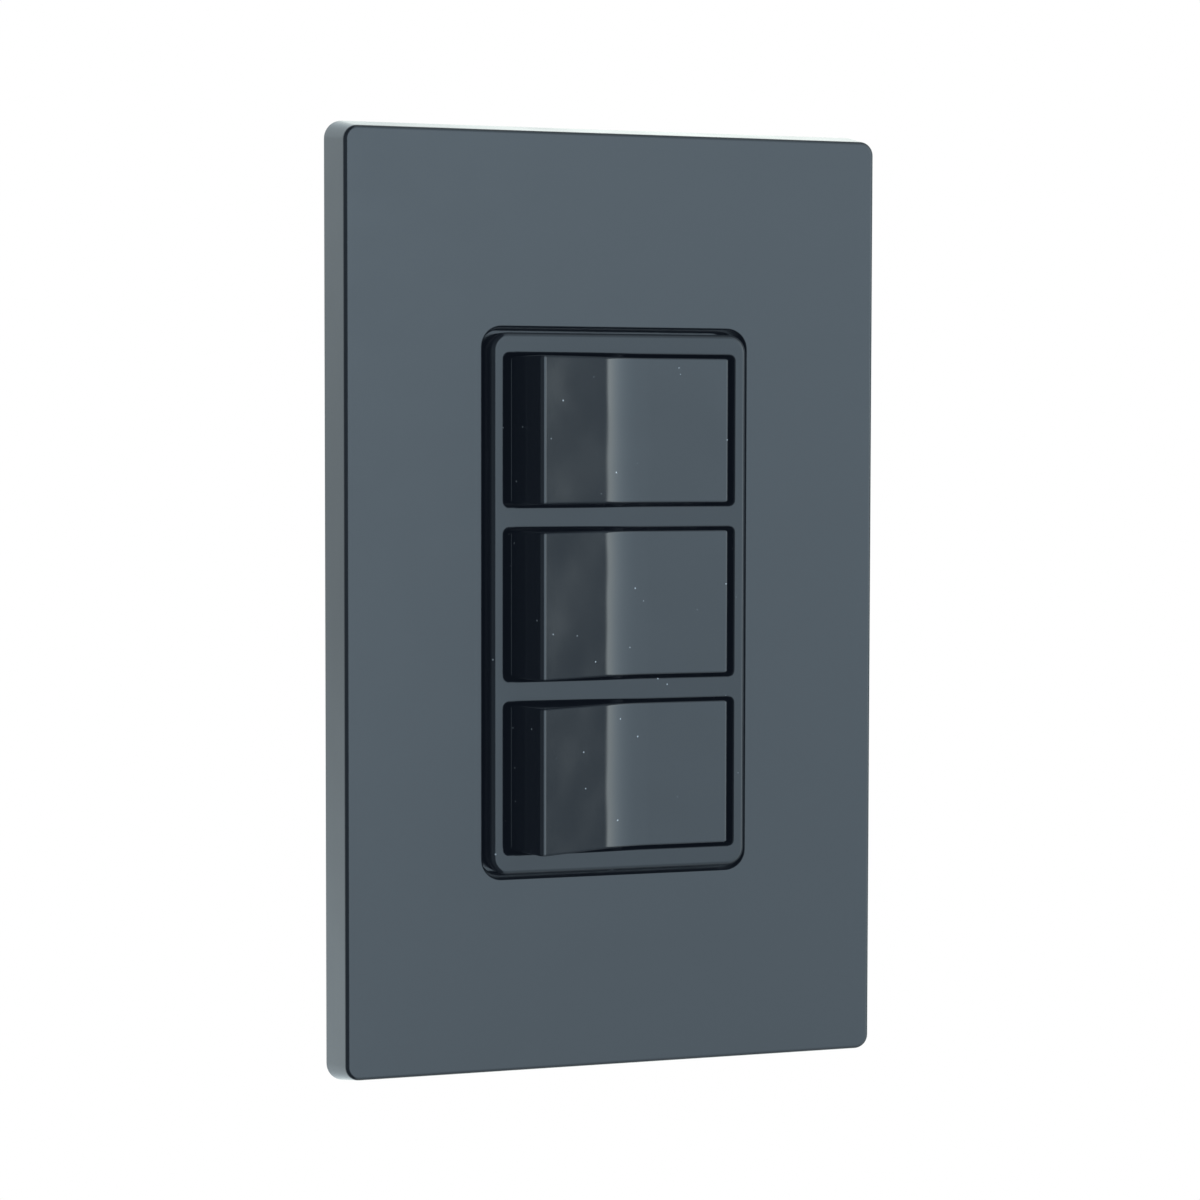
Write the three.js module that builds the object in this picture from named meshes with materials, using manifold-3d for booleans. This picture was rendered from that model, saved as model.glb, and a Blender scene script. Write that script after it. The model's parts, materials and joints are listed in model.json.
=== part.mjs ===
// A screwless wall plate with the triple rocker switch it covers.
// Millimetres. X runs to the right, Z up, and the front faces -Y.
// The origin is the middle of the cover's bottom edge, on the plane of the wall: the
// cover, bezel and rockers are at negative Y, the box side of the switch at positive Y.
// Every piece is drawn with Z = 0 at the middle of the plate, and the finished assembly
// is raised by half the cover's height.

import * as THREE from 'three';
import { mergeVertices } from 'three/addons/utils/BufferGeometryUtils.js';
import Module from 'manifold-3d';

const wasm = await Module();
wasm.setup();

// ---------------------------------------------------------------- driving dimensions

// cover: the outline is largest on the wall and the four sides lean in toward the front
const COVER_WIDTH = 69.85;
const COVER_HEIGHT = 115.9;
const COVER_DEPTH = 5.9;
const COVER_DRAFT = 0.95;
const COVER_EDGE = 0.5;
const COVER_CORNER = 2.2;
const COVER_FACE = 1.6;
const COVER_RIM = 1.9;
const WINDOW_WIDTH = 33.85;
const WINDOW_HEIGHT = 66.8;
const WINDOW_CORNER = 2.4;

// strap: flat on the wall, so its back is the wall plane
const STRAP_THICK = 1.3;
const STRAP_HALF_WIDTH = 18.5;
const STRAP_BODY_HALF_HEIGHT = 39.5;
const STRAP_HALF_HEIGHT = 53;
const STRAP_NECK_HALF_WIDTH = 11;
const STRAP_HOLE_HALF_WIDTH = 15;
const STRAP_HOLE_HALF_HEIGHT = 31.3;
const DEVICE_SCREW_Z = 83.3 / 2;
const PLATE_SCREW_Z = 96.8 / 2;

// bezel and its three openings
const BEZEL_WIDTH = 32.7;
const BEZEL_HEIGHT = 65.4;
const BEZEL_PROUD = 1.8;
const BEZEL_EDGE = 0.6;
const BEZEL_CORNER = 2.2;
const OPENING_WIDTH = 29.5;
const OPENING_HEIGHT = 18.4;
const OPENING_CORNER = 0.7;
const ROCKER_PITCH = 21;

// rocker: two flat halves meeting in a shallow rounded valley
const ROCKER_SWING = 13;
const ROCKER_HALF_WIDTH = 13.4;
const ROCKER_HEIGHT = 17.7;
const ROCKER_WALL = 1.5;
const ROCKER_SKIRT = 4;
const VALLEY_DEPTH = 2.4;
const VALLEY_RADIUS = 15;
const PIN_RADIUS = 1.1;

// see-saw contact lever
const LEVER_SWING = 7;
const LEVER_HALF_LENGTH = 9;
const LEVER_WIDTH = 6;
const LEVER_PIVOT_Y = 7;
const LEVER_THICK = 1;
const LEVER_STANDOFF = 0.8;
const CONTACT_X = 7.5;

// housing and terminals
const HOUSING_HALF_WIDTH = 16.6;
const HOUSING_HALF_HEIGHT = 33.5;
const HOUSING_WALL = 1.6;
const HOUSING_DEPTH = 24;
const SHEET = 0.9;
const TERMINAL_HALF_HEIGHT = 4.6;
const TERMINAL_REACH = 10;

// gaps between neighbours: a close fit, and a loose one
const FIT = 0.1;
const PLAY = 0.3;

// how far a cutting tool runs past the surface it opens, how deep one shape sinks into
// the shape it grows from, and a distance beyond the reach of any piece
const PAST = 1;
const ROOT = 0.5;
const FAR = 200;

// flats that stand for a rounded edge, and for the circle of a bar or turned piece
const EDGE_STEPS = 3;
const ROUND_STEPS = 16;
const WIDE_ROUND_STEPS = 24;

// ------------------------------------------------------------------- derived places

const COVER_FRONT = -COVER_DEPTH;
const COVER_INSIDE = COVER_FRONT + COVER_FACE;
const BEZEL_FRONT = COVER_FRONT - BEZEL_PROUD;
const STRAP_FRONT = -STRAP_THICK;
const SWING = THREE.MathUtils.degToRad(ROCKER_SWING);
const LEVER_TILT = THREE.MathUtils.degToRad(LEVER_SWING);
const ROCKER_PIVOT_Y = BEZEL_FRONT + VALLEY_DEPTH * Math.cos(SWING);
const BAYS = { top: ROCKER_PITCH, middle: 0, bottom: -ROCKER_PITCH };
const SIDES = [-1, 1];

// ------------------------------------------------------------------------ materials

const blackSatin = (name) => finish(name, 0x3a4148, 0.45, 0);
const blackGloss = (name) => finish(name, 0x23282d, 0.2, 0);
const blackBody = (name) => finish(name, 0x1d1f21, 0.55, 0);
const zincSteel = (name) => finish(name, 0xb9bcbd, 0.35, 1);
const brass = (name) => finish(name, 0xc79a45, 0.3, 1);
const copperAlloy = (name) => finish(name, 0xc07a4a, 0.35, 1);
const silver = (name) => finish(name, 0xd8d8d4, 0.25, 1);
const blackScrew = (name) => finish(name, 0x2b2b2d, 0.4, 1);
const greenScrew = (name) => finish(name, 0x2f7d45, 0.4, 1);
const paleNylon = (name) => finish(name, 0xe6e2d6, 0.5, 0);

function finish(name, color, roughness, metalness) {
  return new THREE.MeshStandardMaterial({ name, color, roughness, metalness });
}

// -------------------------------------------------------------------- solid helpers

function toManifold(geometry) {
  const plain = geometry.clone();
  plain.deleteAttribute('normal');
  plain.deleteAttribute('uv');
  const merged = mergeVertices(plain, 1e-4);
  return new wasm.Manifold(new wasm.Mesh({
    numProp: 3,
    vertProperties: new Float32Array(merged.attributes.position.array),
    triVerts: new Uint32Array(merged.index.array),
  }));
}

function toGeometry(solid) {
  const mesh = solid.getMesh();
  const geometry = new THREE.BufferGeometry();
  geometry.setAttribute('position', new THREE.BufferAttribute(mesh.vertProperties, 3));
  geometry.setIndex(new THREE.BufferAttribute(mesh.triVerts, 1));
  geometry.computeVertexNormals();
  return geometry;
}

const joined = (solids) => solids.reduce((sum, solid) => sum.add(solid));
const cut = (solid, tools) => tools.reduce((rest, tool) => rest.subtract(tool), solid);

// a box given by its lowest and highest X, Y and Z
function block([x0, x1], [y0, y1], [z0, z1]) {
  const box = new THREE.BoxGeometry(x1 - x0, y1 - y0, z1 - z0);
  return toManifold(box.translate((x0 + x1) / 2, (y0 + y1) / 2, (z0 + z1) / 2));
}

// the span reaching `half` either side of a middle value
const around = (middle, half) => [middle - half, middle + half];

// a span on one side of the middle plane, given by its near and far distance
const onSide = (side, near, far) => (side < 0 ? [-far, -near] : [near, far]);

// an outline drawn in X and Z, made solid from yFront back to yBack
function slab(outline, yFront, yBack, curveSegments = 3) {
  const flat = new THREE.ExtrudeGeometry(outline, {
    depth: yBack - yFront,
    bevelEnabled: false,
    curveSegments,
  });
  return toManifold(flat.rotateX(Math.PI / 2).translate(0, yBack, 0));
}

// the same with a front edge that grows from the outline by `grow` over the depth
// `edge`: one segment leans the sides, several round the edge off
function edgedSlab(outline, yFront, yBack, edge, grow, bevelSegments, curveSegments = 4) {
  const depth = yBack - yFront - edge + PAST;
  const solid = new THREE.ExtrudeGeometry(outline, {
    depth,
    bevelThickness: edge,
    bevelSize: grow,
    bevelSegments,
    curveSegments,
  });
  const whole = toManifold(solid.rotateX(Math.PI / 2).translate(0, yFront + edge + depth, 0));
  return whole.intersect(block([-FAR, FAR], [yFront - PAST, yBack], [-FAR, FAR]));
}

function roundedRectangle(width, height, radius, x = 0, z = 0) {
  const right = x + width / 2 - radius;
  const left = x - width / 2 + radius;
  const top = z + height / 2 - radius;
  const bottom = z - height / 2 + radius;
  const quarter = Math.PI / 2;
  const outline = new THREE.Shape();
  outline.absarc(right, top, radius, 0, quarter, false);
  outline.absarc(left, top, radius, quarter, 2 * quarter, false);
  outline.absarc(left, bottom, radius, 2 * quarter, 3 * quarter, false);
  outline.absarc(right, bottom, radius, 3 * quarter, 4 * quarter, false);
  outline.closePath();
  return outline;
}

// an outline drawn in X and Y, made solid along Z about a middle height
function prism(outline, height, z = 0, curveSegments = 4) {
  const solid = new THREE.ExtrudeGeometry(outline, {
    depth: height,
    bevelEnabled: false,
    curveSegments,
  });
  return toManifold(solid.translate(0, 0, z - height / 2));
}

// round bars along Y, X and Z
function barY(radius, y0, y1, x, z, segments = ROUND_STEPS) {
  const bar = new THREE.CylinderGeometry(radius, radius, y1 - y0, segments);
  return toManifold(bar.translate(x, (y0 + y1) / 2, z));
}

function barX(radius, x0, x1, y, z, segments = ROUND_STEPS) {
  const bar = new THREE.CylinderGeometry(radius, radius, x1 - x0, segments).rotateZ(Math.PI / 2);
  return toManifold(bar.translate((x0 + x1) / 2, y, z));
}

function barZ(radius, z0, z1, x, y, segments = ROUND_STEPS) {
  const bar = new THREE.CylinderGeometry(radius, radius, z1 - z0, segments).rotateX(Math.PI / 2);
  return toManifold(bar.translate(x, y, (z0 + z1) / 2));
}

// a turned solid: points are [radius, distance along Y] from one end to the other
function turned(points, segments = ROUND_STEPS) {
  const lathe = new THREE.LatheGeometry(points.map(([r, y]) => new THREE.Vector2(r, y)), segments);
  return toManifold(lathe);
}

function piece(name, solid, material) {
  const mesh = new THREE.Mesh(toGeometry(solid), material(name));
  mesh.name = name;
  return mesh;
}

// ---------------------------------------------------------------------------- cover

const HOOK_X = 27.5;
const HOOK_Z = 38;
const HOOK_THICK = 1;
const HOOK_WIDTH = 8;
const HOOK_BACK = -1;
const COVER_INNER_CORNER = 1.2;

function coverPlate() {
  const frontWidth = COVER_WIDTH - 2 * COVER_DRAFT;
  const frontHeight = COVER_HEIGHT - 2 * COVER_DRAFT;
  const frontCorner = COVER_CORNER - COVER_DRAFT / 2;
  const front = roundedRectangle(frontWidth, frontHeight, frontCorner);
  const lean = COVER_DRAFT * COVER_EDGE / COVER_DEPTH;
  const faceInset = 2 * (COVER_EDGE - lean);
  const faceCorner = frontCorner - COVER_EDGE + lean;
  const face = roundedRectangle(frontWidth - faceInset, frontHeight - faceInset, faceCorner);
  const shoulder = COVER_FRONT + COVER_EDGE;
  const sides = edgedSlab(front, COVER_FRONT, 0, COVER_DEPTH, COVER_DRAFT, 1);
  const cap = edgedSlab(face, COVER_FRONT, shoulder, COVER_EDGE, COVER_EDGE, EDGE_STEPS);
  const across = [-COVER_HEIGHT, COVER_HEIGHT];
  const behindShoulder = block(across, [shoulder, COVER_HEIGHT], across);
  const inner = roundedRectangle(
    COVER_WIDTH - 2 * COVER_RIM,
    COVER_HEIGHT - 2 * COVER_RIM,
    COVER_INNER_CORNER,
  );
  const opening = roundedRectangle(WINDOW_WIDTH, WINDOW_HEIGHT, WINDOW_CORNER);
  const shell = cut(sides.intersect(behindShoulder).add(cap), [
    slab(inner, COVER_INSIDE, PAST),
    slab(opening, COVER_FRONT - PAST, PAST),
  ]);
  return joined([shell, ...coverHooks()]);
}

function coverHooks() {
  const hooks = [];
  for (const x of SIDES) {
    for (const z of SIDES) {
      hooks.push(block(
        around(x * HOOK_X, HOOK_THICK / 2),
        [COVER_INSIDE - ROOT, HOOK_BACK],
        around(z * HOOK_Z, HOOK_WIDTH / 2),
      ));
    }
  }
  return hooks;
}

// ------------------------------------------------------------------------ sub-plate

const SUB_FRONT = -3.9;
const SUB_THICK = 1.5;
const SUB_WIDTH = 64.6;
const SUB_HEIGHT = 110.6;
const SUB_RIB = 1.2;
const SUB_BOSS_RADIUS = 3.1;
const SUB_CORNER = 1.5;
const SUB_WINDOW_LIP = 0.3;
const SCREW_RADIUS = 1.75;

function subPlate() {
  const back = SUB_FRONT + SUB_THICK;
  const outline = roundedRectangle(SUB_WIDTH, SUB_HEIGHT, SUB_CORNER);
  const inside = roundedRectangle(SUB_WIDTH - 2 * SUB_RIB, SUB_HEIGHT - 2 * SUB_RIB, SUB_CORNER / 2);
  const opening = roundedRectangle(
    WINDOW_WIDTH - 2 * SUB_WINDOW_LIP,
    WINDOW_HEIGHT - 2 * SUB_WINDOW_LIP,
    WINDOW_CORNER,
  );
  const tray = cut(slab(outline, SUB_FRONT, 0), [slab(inside, back, PAST)]);
  const solids = [tray];
  const holes = [slab(opening, SUB_FRONT - PAST, PAST), ...hookSlots()];
  for (const s of SIDES) {
    const z = s * PLATE_SCREW_Z;
    solids.push(barY(SUB_BOSS_RADIUS, back - ROOT, STRAP_FRONT, 0, z));
    holes.push(barY(SCREW_RADIUS + FIT, SUB_FRONT - PAST, PAST, 0, z));
    holes.push(plateScrewSeat(FIT).translate(0, 0, z));
    holes.push(barY(DEVICE_HEAD_RADIUS + PLAY, SUB_FRONT - PAST, back + FIT, 0, s * DEVICE_SCREW_Z));
  }
  return cut(joined(solids), holes);
}

function hookSlots() {
  const slots = [];
  for (const x of SIDES) {
    for (const z of SIDES) {
      slots.push(block(
        around(x * HOOK_X, HOOK_THICK / 2 + PLAY),
        [SUB_FRONT - PAST, PAST],
        around(z * HOOK_Z, HOOK_WIDTH / 2 + PLAY),
      ));
    }
  }
  return slots;
}

// --------------------------------------------------------------------------- screws

const PLATE_HEAD_RADIUS = 3.3;
const PLATE_HEAD_DEPTH = 1.4;
const DEVICE_HEAD_RADIUS = 3.4;
const DEVICE_HEAD_DEPTH = 1.9;
const SLOT_WIDTH = 1.1;
const PLATE_SCREW_TIP = 5;
const DEVICE_SCREW_TIP = 22;
const SCREW_POINT = 0.8;
const HEAD_ROUNDING = 0.5;

// the cone that a flat screw head sinks into, open at the front
function plateScrewSeat(gap) {
  return turned([
    [0, SUB_FRONT - PAST],
    [PLATE_HEAD_RADIUS + gap, SUB_FRONT - PAST],
    [PLATE_HEAD_RADIUS + gap, SUB_FRONT + gap],
    [SCREW_RADIUS + gap, SUB_FRONT + PLATE_HEAD_DEPTH + gap],
    [0, SUB_FRONT + PLATE_HEAD_DEPTH + gap],
  ]);
}

// a straight driver slot across a head whose face is at `face`
const driverSlot = (face, depth, reach) => block(
  around(0, reach + PAST),
  [face - PAST, face + depth],
  around(0, SLOT_WIDTH / 2),
);

function plateScrew() {
  const body = turned([
    [0, SUB_FRONT],
    [PLATE_HEAD_RADIUS, SUB_FRONT],
    [SCREW_RADIUS, SUB_FRONT + PLATE_HEAD_DEPTH],
    [SCREW_RADIUS, PLATE_SCREW_TIP - SCREW_POINT],
    [SCREW_RADIUS - SCREW_POINT, PLATE_SCREW_TIP],
    [0, PLATE_SCREW_TIP],
  ]);
  return cut(body, [driverSlot(SUB_FRONT, PLATE_HEAD_DEPTH / 2, PLATE_HEAD_RADIUS)]);
}

function deviceScrew() {
  const face = STRAP_FRONT - DEVICE_HEAD_DEPTH;
  const body = turned([
    [0, face],
    [DEVICE_HEAD_RADIUS - 2 * HEAD_ROUNDING, face],
    [DEVICE_HEAD_RADIUS, face + 2 * HEAD_ROUNDING],
    [DEVICE_HEAD_RADIUS, STRAP_FRONT],
    [SCREW_RADIUS, STRAP_FRONT],
    [SCREW_RADIUS, DEVICE_SCREW_TIP - SCREW_POINT],
    [SCREW_RADIUS - SCREW_POINT, DEVICE_SCREW_TIP],
    [0, DEVICE_SCREW_TIP],
  ]);
  return cut(body, [driverSlot(face, DEVICE_HEAD_DEPTH / 2, DEVICE_HEAD_RADIUS)]);
}

const TERMINAL_SCREW_RADIUS = 2.1;
const TERMINAL_HEAD_RADIUS = 4;
const TERMINAL_HEAD_DEPTH = 2.1;

// a side screw: the head's underside is at X = 0, the shank runs inward along +X
function sideScrew(shankLength) {
  const face = -TERMINAL_HEAD_DEPTH;
  const body = turned([
    [0, face],
    [TERMINAL_HEAD_RADIUS - HEAD_ROUNDING, face],
    [TERMINAL_HEAD_RADIUS, face + HEAD_ROUNDING],
    [TERMINAL_HEAD_RADIUS, 0],
    [TERMINAL_SCREW_RADIUS, 0],
    [TERMINAL_SCREW_RADIUS, shankLength - SCREW_POINT],
    [TERMINAL_SCREW_RADIUS - SCREW_POINT, shankLength],
    [0, shankLength],
  ]);
  const slot = driverSlot(face, TERMINAL_HEAD_DEPTH / 2, TERMINAL_HEAD_RADIUS);
  return cut(body, [slot, slot.rotate([0, 90, 0])]).rotate([0, 0, -90]);
}

const RIVET_X = 12.5;
const RIVET_Z = 35.6;
const RIVET_RADIUS = 1.3;
const RIVET_HEAD_RADIUS = 1.95;
const RIVET_HEAD_DEPTH = 0.8;
const EAR_DEPTH = 3.5;

function rivet() {
  const front = STRAP_FRONT - RIVET_HEAD_DEPTH;
  const back = EAR_DEPTH + RIVET_HEAD_DEPTH;
  return turned([
    [0, front],
    [RIVET_HEAD_RADIUS - HEAD_ROUNDING, front],
    [RIVET_HEAD_RADIUS, front + HEAD_ROUNDING],
    [RIVET_HEAD_RADIUS, STRAP_FRONT],
    [RIVET_RADIUS, STRAP_FRONT],
    [RIVET_RADIUS, EAR_DEPTH],
    [RIVET_HEAD_RADIUS, EAR_DEPTH],
    [RIVET_HEAD_RADIUS, back - HEAD_ROUNDING],
    [RIVET_HEAD_RADIUS - HEAD_ROUNDING, back],
    [0, back],
  ]);
}

// ---------------------------------------------------------------------------- strap

const EAR_LOBE_X = 12;
const EAR_LOBE_Z = 47.5;
const EAR_LOBE_RADIUS = 5.5;
const EAR_HOLE_RADIUS = 1.7;
const EAR_SLOT_LENGTH = 7;
const EAR_SLOT_HEIGHT = 4;
const EAR_SLOT_FLAT = 0.02;
const STRAP_CORNER = 2;
const STRAP_NECK_CORNER = 1.5;
const STRAP_HOLE_CORNER = 0.6;
const GROUND_TAB_BACK = 10;
const GROUND_TAB_ABOVE = 4;
const GROUND_Z = -35.9;
const GROUND_Y = 6;

function mountingStrap() {
  const middle = roundedRectangle(2 * STRAP_HALF_WIDTH, 2 * STRAP_BODY_HALF_HEIGHT, STRAP_CORNER);
  const neck = roundedRectangle(2 * STRAP_NECK_HALF_WIDTH, 2 * STRAP_HALF_HEIGHT, STRAP_NECK_CORNER);
  const hole = roundedRectangle(2 * STRAP_HOLE_HALF_WIDTH, 2 * STRAP_HOLE_HALF_HEIGHT, STRAP_HOLE_CORNER);
  const front = STRAP_FRONT - PAST;
  const parts = [slab(middle, STRAP_FRONT, 0), slab(neck, STRAP_FRONT, 0), groundTab()];
  const holes = [slab(hole, front, PAST), groundHole()];
  for (const s of SIDES) {
    for (const x of SIDES) {
      parts.push(barY(EAR_LOBE_RADIUS, STRAP_FRONT, 0, x * EAR_LOBE_X, s * EAR_LOBE_Z));
      holes.push(barY(EAR_HOLE_RADIUS, front, PAST, x * EAR_LOBE_X, s * EAR_LOBE_Z));
      holes.push(barY(RIVET_RADIUS + FIT, front, PAST, x * RIVET_X, s * RIVET_Z));
    }
    holes.push(earSlot(s * DEVICE_SCREW_Z));
    holes.push(barY(SCREW_RADIUS + FIT, front, PAST, 0, s * PLATE_SCREW_Z));
  }
  return cut(joined(parts), holes);
}

// a slot with round ends, so that the device can be straightened on its box
function earSlot(z) {
  const endRadius = (EAR_SLOT_HEIGHT - EAR_SLOT_FLAT) / 2;
  const outline = roundedRectangle(EAR_SLOT_LENGTH, EAR_SLOT_HEIGHT, endRadius, 0, z);
  return slab(outline, STRAP_FRONT - PAST, PAST);
}

// a tab folded back from the strap's left edge for the ground screw
function groundTab() {
  return block(
    onSide(-1, STRAP_HALF_WIDTH - STRAP_THICK, STRAP_HALF_WIDTH),
    [STRAP_FRONT, GROUND_TAB_BACK],
    [-STRAP_BODY_HALF_HEIGHT, GROUND_Z + GROUND_TAB_ABOVE],
  );
}

const groundHole = () => barX(
  TERMINAL_SCREW_RADIUS + FIT,
  -STRAP_HALF_WIDTH - PAST,
  -STRAP_HALF_WIDTH + STRAP_THICK + PAST,
  GROUND_Y,
  GROUND_Z,
);

// ---------------------------------------------------------------------------- bezel

const FLANGE = 0.6;
const FLANGE_THICK = 0.8;
const LEG_X = 9;
const LEG_WIDTH = 4;
const LEG_BACK = 4;
const BARB = 0.7;
const BARB_BACK = 1.6;
const PIN_REACH = 0.75;
const PIN_END_GAP = 0.15;

// the foot is a little wider than the face, so that nothing behind shows round it
function switchBezel() {
  const face = roundedRectangle(
    BEZEL_WIDTH - 2 * BEZEL_EDGE,
    BEZEL_HEIGHT - 2 * BEZEL_EDGE,
    BEZEL_CORNER - BEZEL_EDGE,
  );
  const foot = roundedRectangle(BEZEL_WIDTH + 2 * FLANGE, BEZEL_HEIGHT + 2 * FLANGE, BEZEL_CORNER);
  const body = edgedSlab(face, BEZEL_FRONT, STRAP_FRONT, BEZEL_EDGE, BEZEL_EDGE, EDGE_STEPS)
    .add(slab(foot, STRAP_FRONT - FLANGE_THICK, STRAP_FRONT));
  const openings = Object.values(BAYS).map((z) => {
    const outline = roundedRectangle(OPENING_WIDTH, OPENING_HEIGHT, OPENING_CORNER, 0, z);
    return slab(outline, BEZEL_FRONT - PAST, PAST, 2);
  });
  return joined([cut(body, [...openings, ...pinSockets()]), ...bezelLegs()]);
}

// U-shaped sockets, open at the back, that the rocker pins drop into
function pinSockets() {
  const radius = PIN_RADIUS + FIT;
  const half = OPENING_HEIGHT / 2 + PIN_REACH + PIN_END_GAP;
  return Object.values(BAYS).map((z) => {
    const round = barZ(radius, z - half, z + half, 0, ROCKER_PIVOT_Y);
    const throat = block(around(0, radius), [ROCKER_PIVOT_Y, PAST], around(z, half));
    return round.add(throat);
  });
}

// legs that pass through the strap, each with a barb that catches behind it
function bezelLegs() {
  const inner = OPENING_HEIGHT / 2 + ROCKER_PITCH;
  const outer = STRAP_HOLE_HALF_HEIGHT - FIT;
  const legs = [];
  for (const x of SIDES) {
    for (const z of SIDES) {
      const across = around(x * LEG_X, LEG_WIDTH / 2);
      legs.push(block(across, [STRAP_FRONT - PAST, LEG_BACK], onSide(z, inner, outer)));
      legs.push(block(across, [FIT, BARB_BACK], onSide(z, inner, outer + BARB)));
    }
  }
  return legs;
}

// -------------------------------------------------------------------------- housing

const HOUSING_CORNER = 1.5;
const FLOOR_FRONT = HOUSING_DEPTH - 2;
const PARTITION_HALF = 0.7;
const FIN_REACH = 19;
const FIN_HALF = 0.7;
const BARRIER_Z = 27.7;
const EAR_HALF_WIDTH = 2.7;
const EAR_PAST_RIVET = 2.3;
const DECK = [2.2, 3.2];
const DECK_HALF_HEIGHT = 29.9;
const DECK_WINDOW_HALF_WIDTH = 9.8;
const DECK_WINDOW_HALF_HEIGHT = 5;
const CONTACT_REST = [-9.5, -5.8];
const LEVER_STOP = [6.5, 9];
const LEVER_STOP_SIDE = 1.2;
const SHANK_ROOM = 0.4;

function switchHousing() {
  const outer = roundedRectangle(2 * HOUSING_HALF_WIDTH, 2 * HOUSING_HALF_HEIGHT, HOUSING_CORNER);
  const inner = roundedRectangle(
    2 * (HOUSING_HALF_WIDTH - HOUSING_WALL),
    2 * (HOUSING_HALF_HEIGHT - HOUSING_WALL),
    HOUSING_CORNER / 2,
  );
  const tub = cut(slab(outer, 0, HOUSING_DEPTH), [slab(inner, -PAST, FLOOR_FRONT)]);
  const solid = joined([tub, deck(), ...partitions(), ...rivetEars(), ...fins(), ...contactRests()]);
  return cut(solid, [busSlot(), ...legPockets(), ...terminalCuts()]);
}

// walls between the bays: the part that reaches forward through the strap is narrower
function partitions() {
  const inside = HOUSING_HALF_WIDTH - HOUSING_WALL;
  return SIDES.map((s) => {
    const high = around(s * ROCKER_PITCH / 2, PARTITION_HALF);
    const forward = block(around(0, inside - FIT), [STRAP_FRONT + PLAY, FLOOR_FRONT + ROOT], high);
    const full = block(around(0, inside + ROOT), [ROOT, FLOOR_FRONT + ROOT], high);
    return forward.add(full);
  });
}

// a deck between the rockers and the live parts, with a window over each lever
function deck() {
  const plate = block(
    around(0, HOUSING_HALF_WIDTH - HOUSING_WALL + ROOT),
    DECK,
    around(0, DECK_HALF_HEIGHT),
  );
  const [front, back] = DECK;
  const windows = Object.values(BAYS).map((z) => block(
    around(0, DECK_WINDOW_HALF_WIDTH),
    [front - PAST, back + PAST],
    around(z, DECK_WINDOW_HALF_HEIGHT),
  ));
  return cut(plate, windows);
}

function rivetEars() {
  const ears = [];
  for (const x of SIDES) {
    for (const z of SIDES) {
      const ear = block(
        around(x * RIVET_X, EAR_HALF_WIDTH),
        [0, EAR_DEPTH],
        onSide(z, HOUSING_HALF_HEIGHT - ROOT, RIVET_Z + EAR_PAST_RIVET),
      );
      const hole = barY(RIVET_RADIUS + FIT, -PAST, EAR_DEPTH + PAST, x * RIVET_X, z * RIVET_Z);
      ears.push(cut(ear, [hole]));
    }
  }
  return ears;
}

// upright barriers between neighbouring terminal screws
function fins() {
  const levels = [-BARRIER_Z, -ROCKER_PITCH / 2, ROCKER_PITCH / 2, BARRIER_Z];
  const all = [];
  for (const side of SIDES) {
    const across = onSide(side, HOUSING_HALF_WIDTH - ROOT, FIN_REACH);
    for (const z of levels) {
      all.push(block(across, [0, HOUSING_DEPTH - 1], around(z, FIN_HALF)));
    }
  }
  return all;
}

// ribs under the fixed contacts, and the stops on the other side of the levers
function contactRests() {
  const back = FLOOR_FRONT + ROOT;
  const half = LEVER_WIDTH / 2;
  const rests = [];
  for (const z of Object.values(BAYS)) {
    rests.push(block(CONTACT_REST, [PAD_FRONT + SHEET, back], around(z, half)));
    rests.push(block(LEVER_STOP, [LEVER_PIVOT_Y + 1, back], around(z, half + LEVER_STOP_SIDE)));
  }
  return rests;
}

const busSlot = () => block(
  around(0, SHEET / 2 + FIT),
  [STRAP_FRONT - PAST, BUS_BACK + FIT],
  around(0, BUS_HALF_HEIGHT + PLAY),
);

function legPockets() {
  const pockets = [];
  for (const x of SIDES) {
    for (const z of SIDES) {
      pockets.push(block(
        around(x * LEG_X, LEG_WIDTH / 2 + PLAY),
        [-PAST, LEG_BACK + ROOT],
        onSide(z, STRAP_HOLE_HALF_HEIGHT - 1, STRAP_HOLE_HALF_HEIGHT + 1),
      ));
    }
  }
  return pockets;
}

// wall slots that the terminal strips pass through, and room for the screw shanks
function terminalCuts() {
  const cuts = [];
  const high = around(0, LEVER_WIDTH / 2 + FIT);
  const shank = TERMINAL_SCREW_RADIUS + SHANK_ROOM;
  const inside = HOUSING_HALF_WIDTH - HOUSING_WALL - PAST;
  const outside = HOUSING_HALF_WIDTH + PAST;
  for (const z of Object.values(BAYS)) {
    const strip = block([-outside, -inside], [PAD_FRONT - FIT, PAD_FRONT + SHEET + FIT], high);
    cuts.push(strip.translate(0, 0, z));
    cuts.push(barX(shank, -outside, -inside, LOAD_SCREW_Y, z));
  }
  cuts.push(block([0, outside], [BUS_BACK - SHEET - FIT, BUS_BACK + FIT], high));
  cuts.push(barX(shank, inside - PAST, outside, COMMON_SCREW_Y, 0));
  return cuts;
}

// ------------------------------------------------------------------------ terminals

const PAD_FRONT = 9.1;
const PAD_END_X = -5.8;
const SCREW_FROM_EDGE = 5.6;
const LOAD_SCREW_Y = PAD_FRONT + SCREW_FROM_EDGE;
const BUS_BACK = 19.4;
const BUS_HALF_HEIGHT = 24;
const BUS_FRONT = 11;
const COMMON_SCREW_Y = BUS_BACK - SCREW_FROM_EDGE;
const SIDE_PLATE = [HOUSING_HALF_WIDTH + FIT, HOUSING_HALF_WIDTH + FIT + SHEET];

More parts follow.
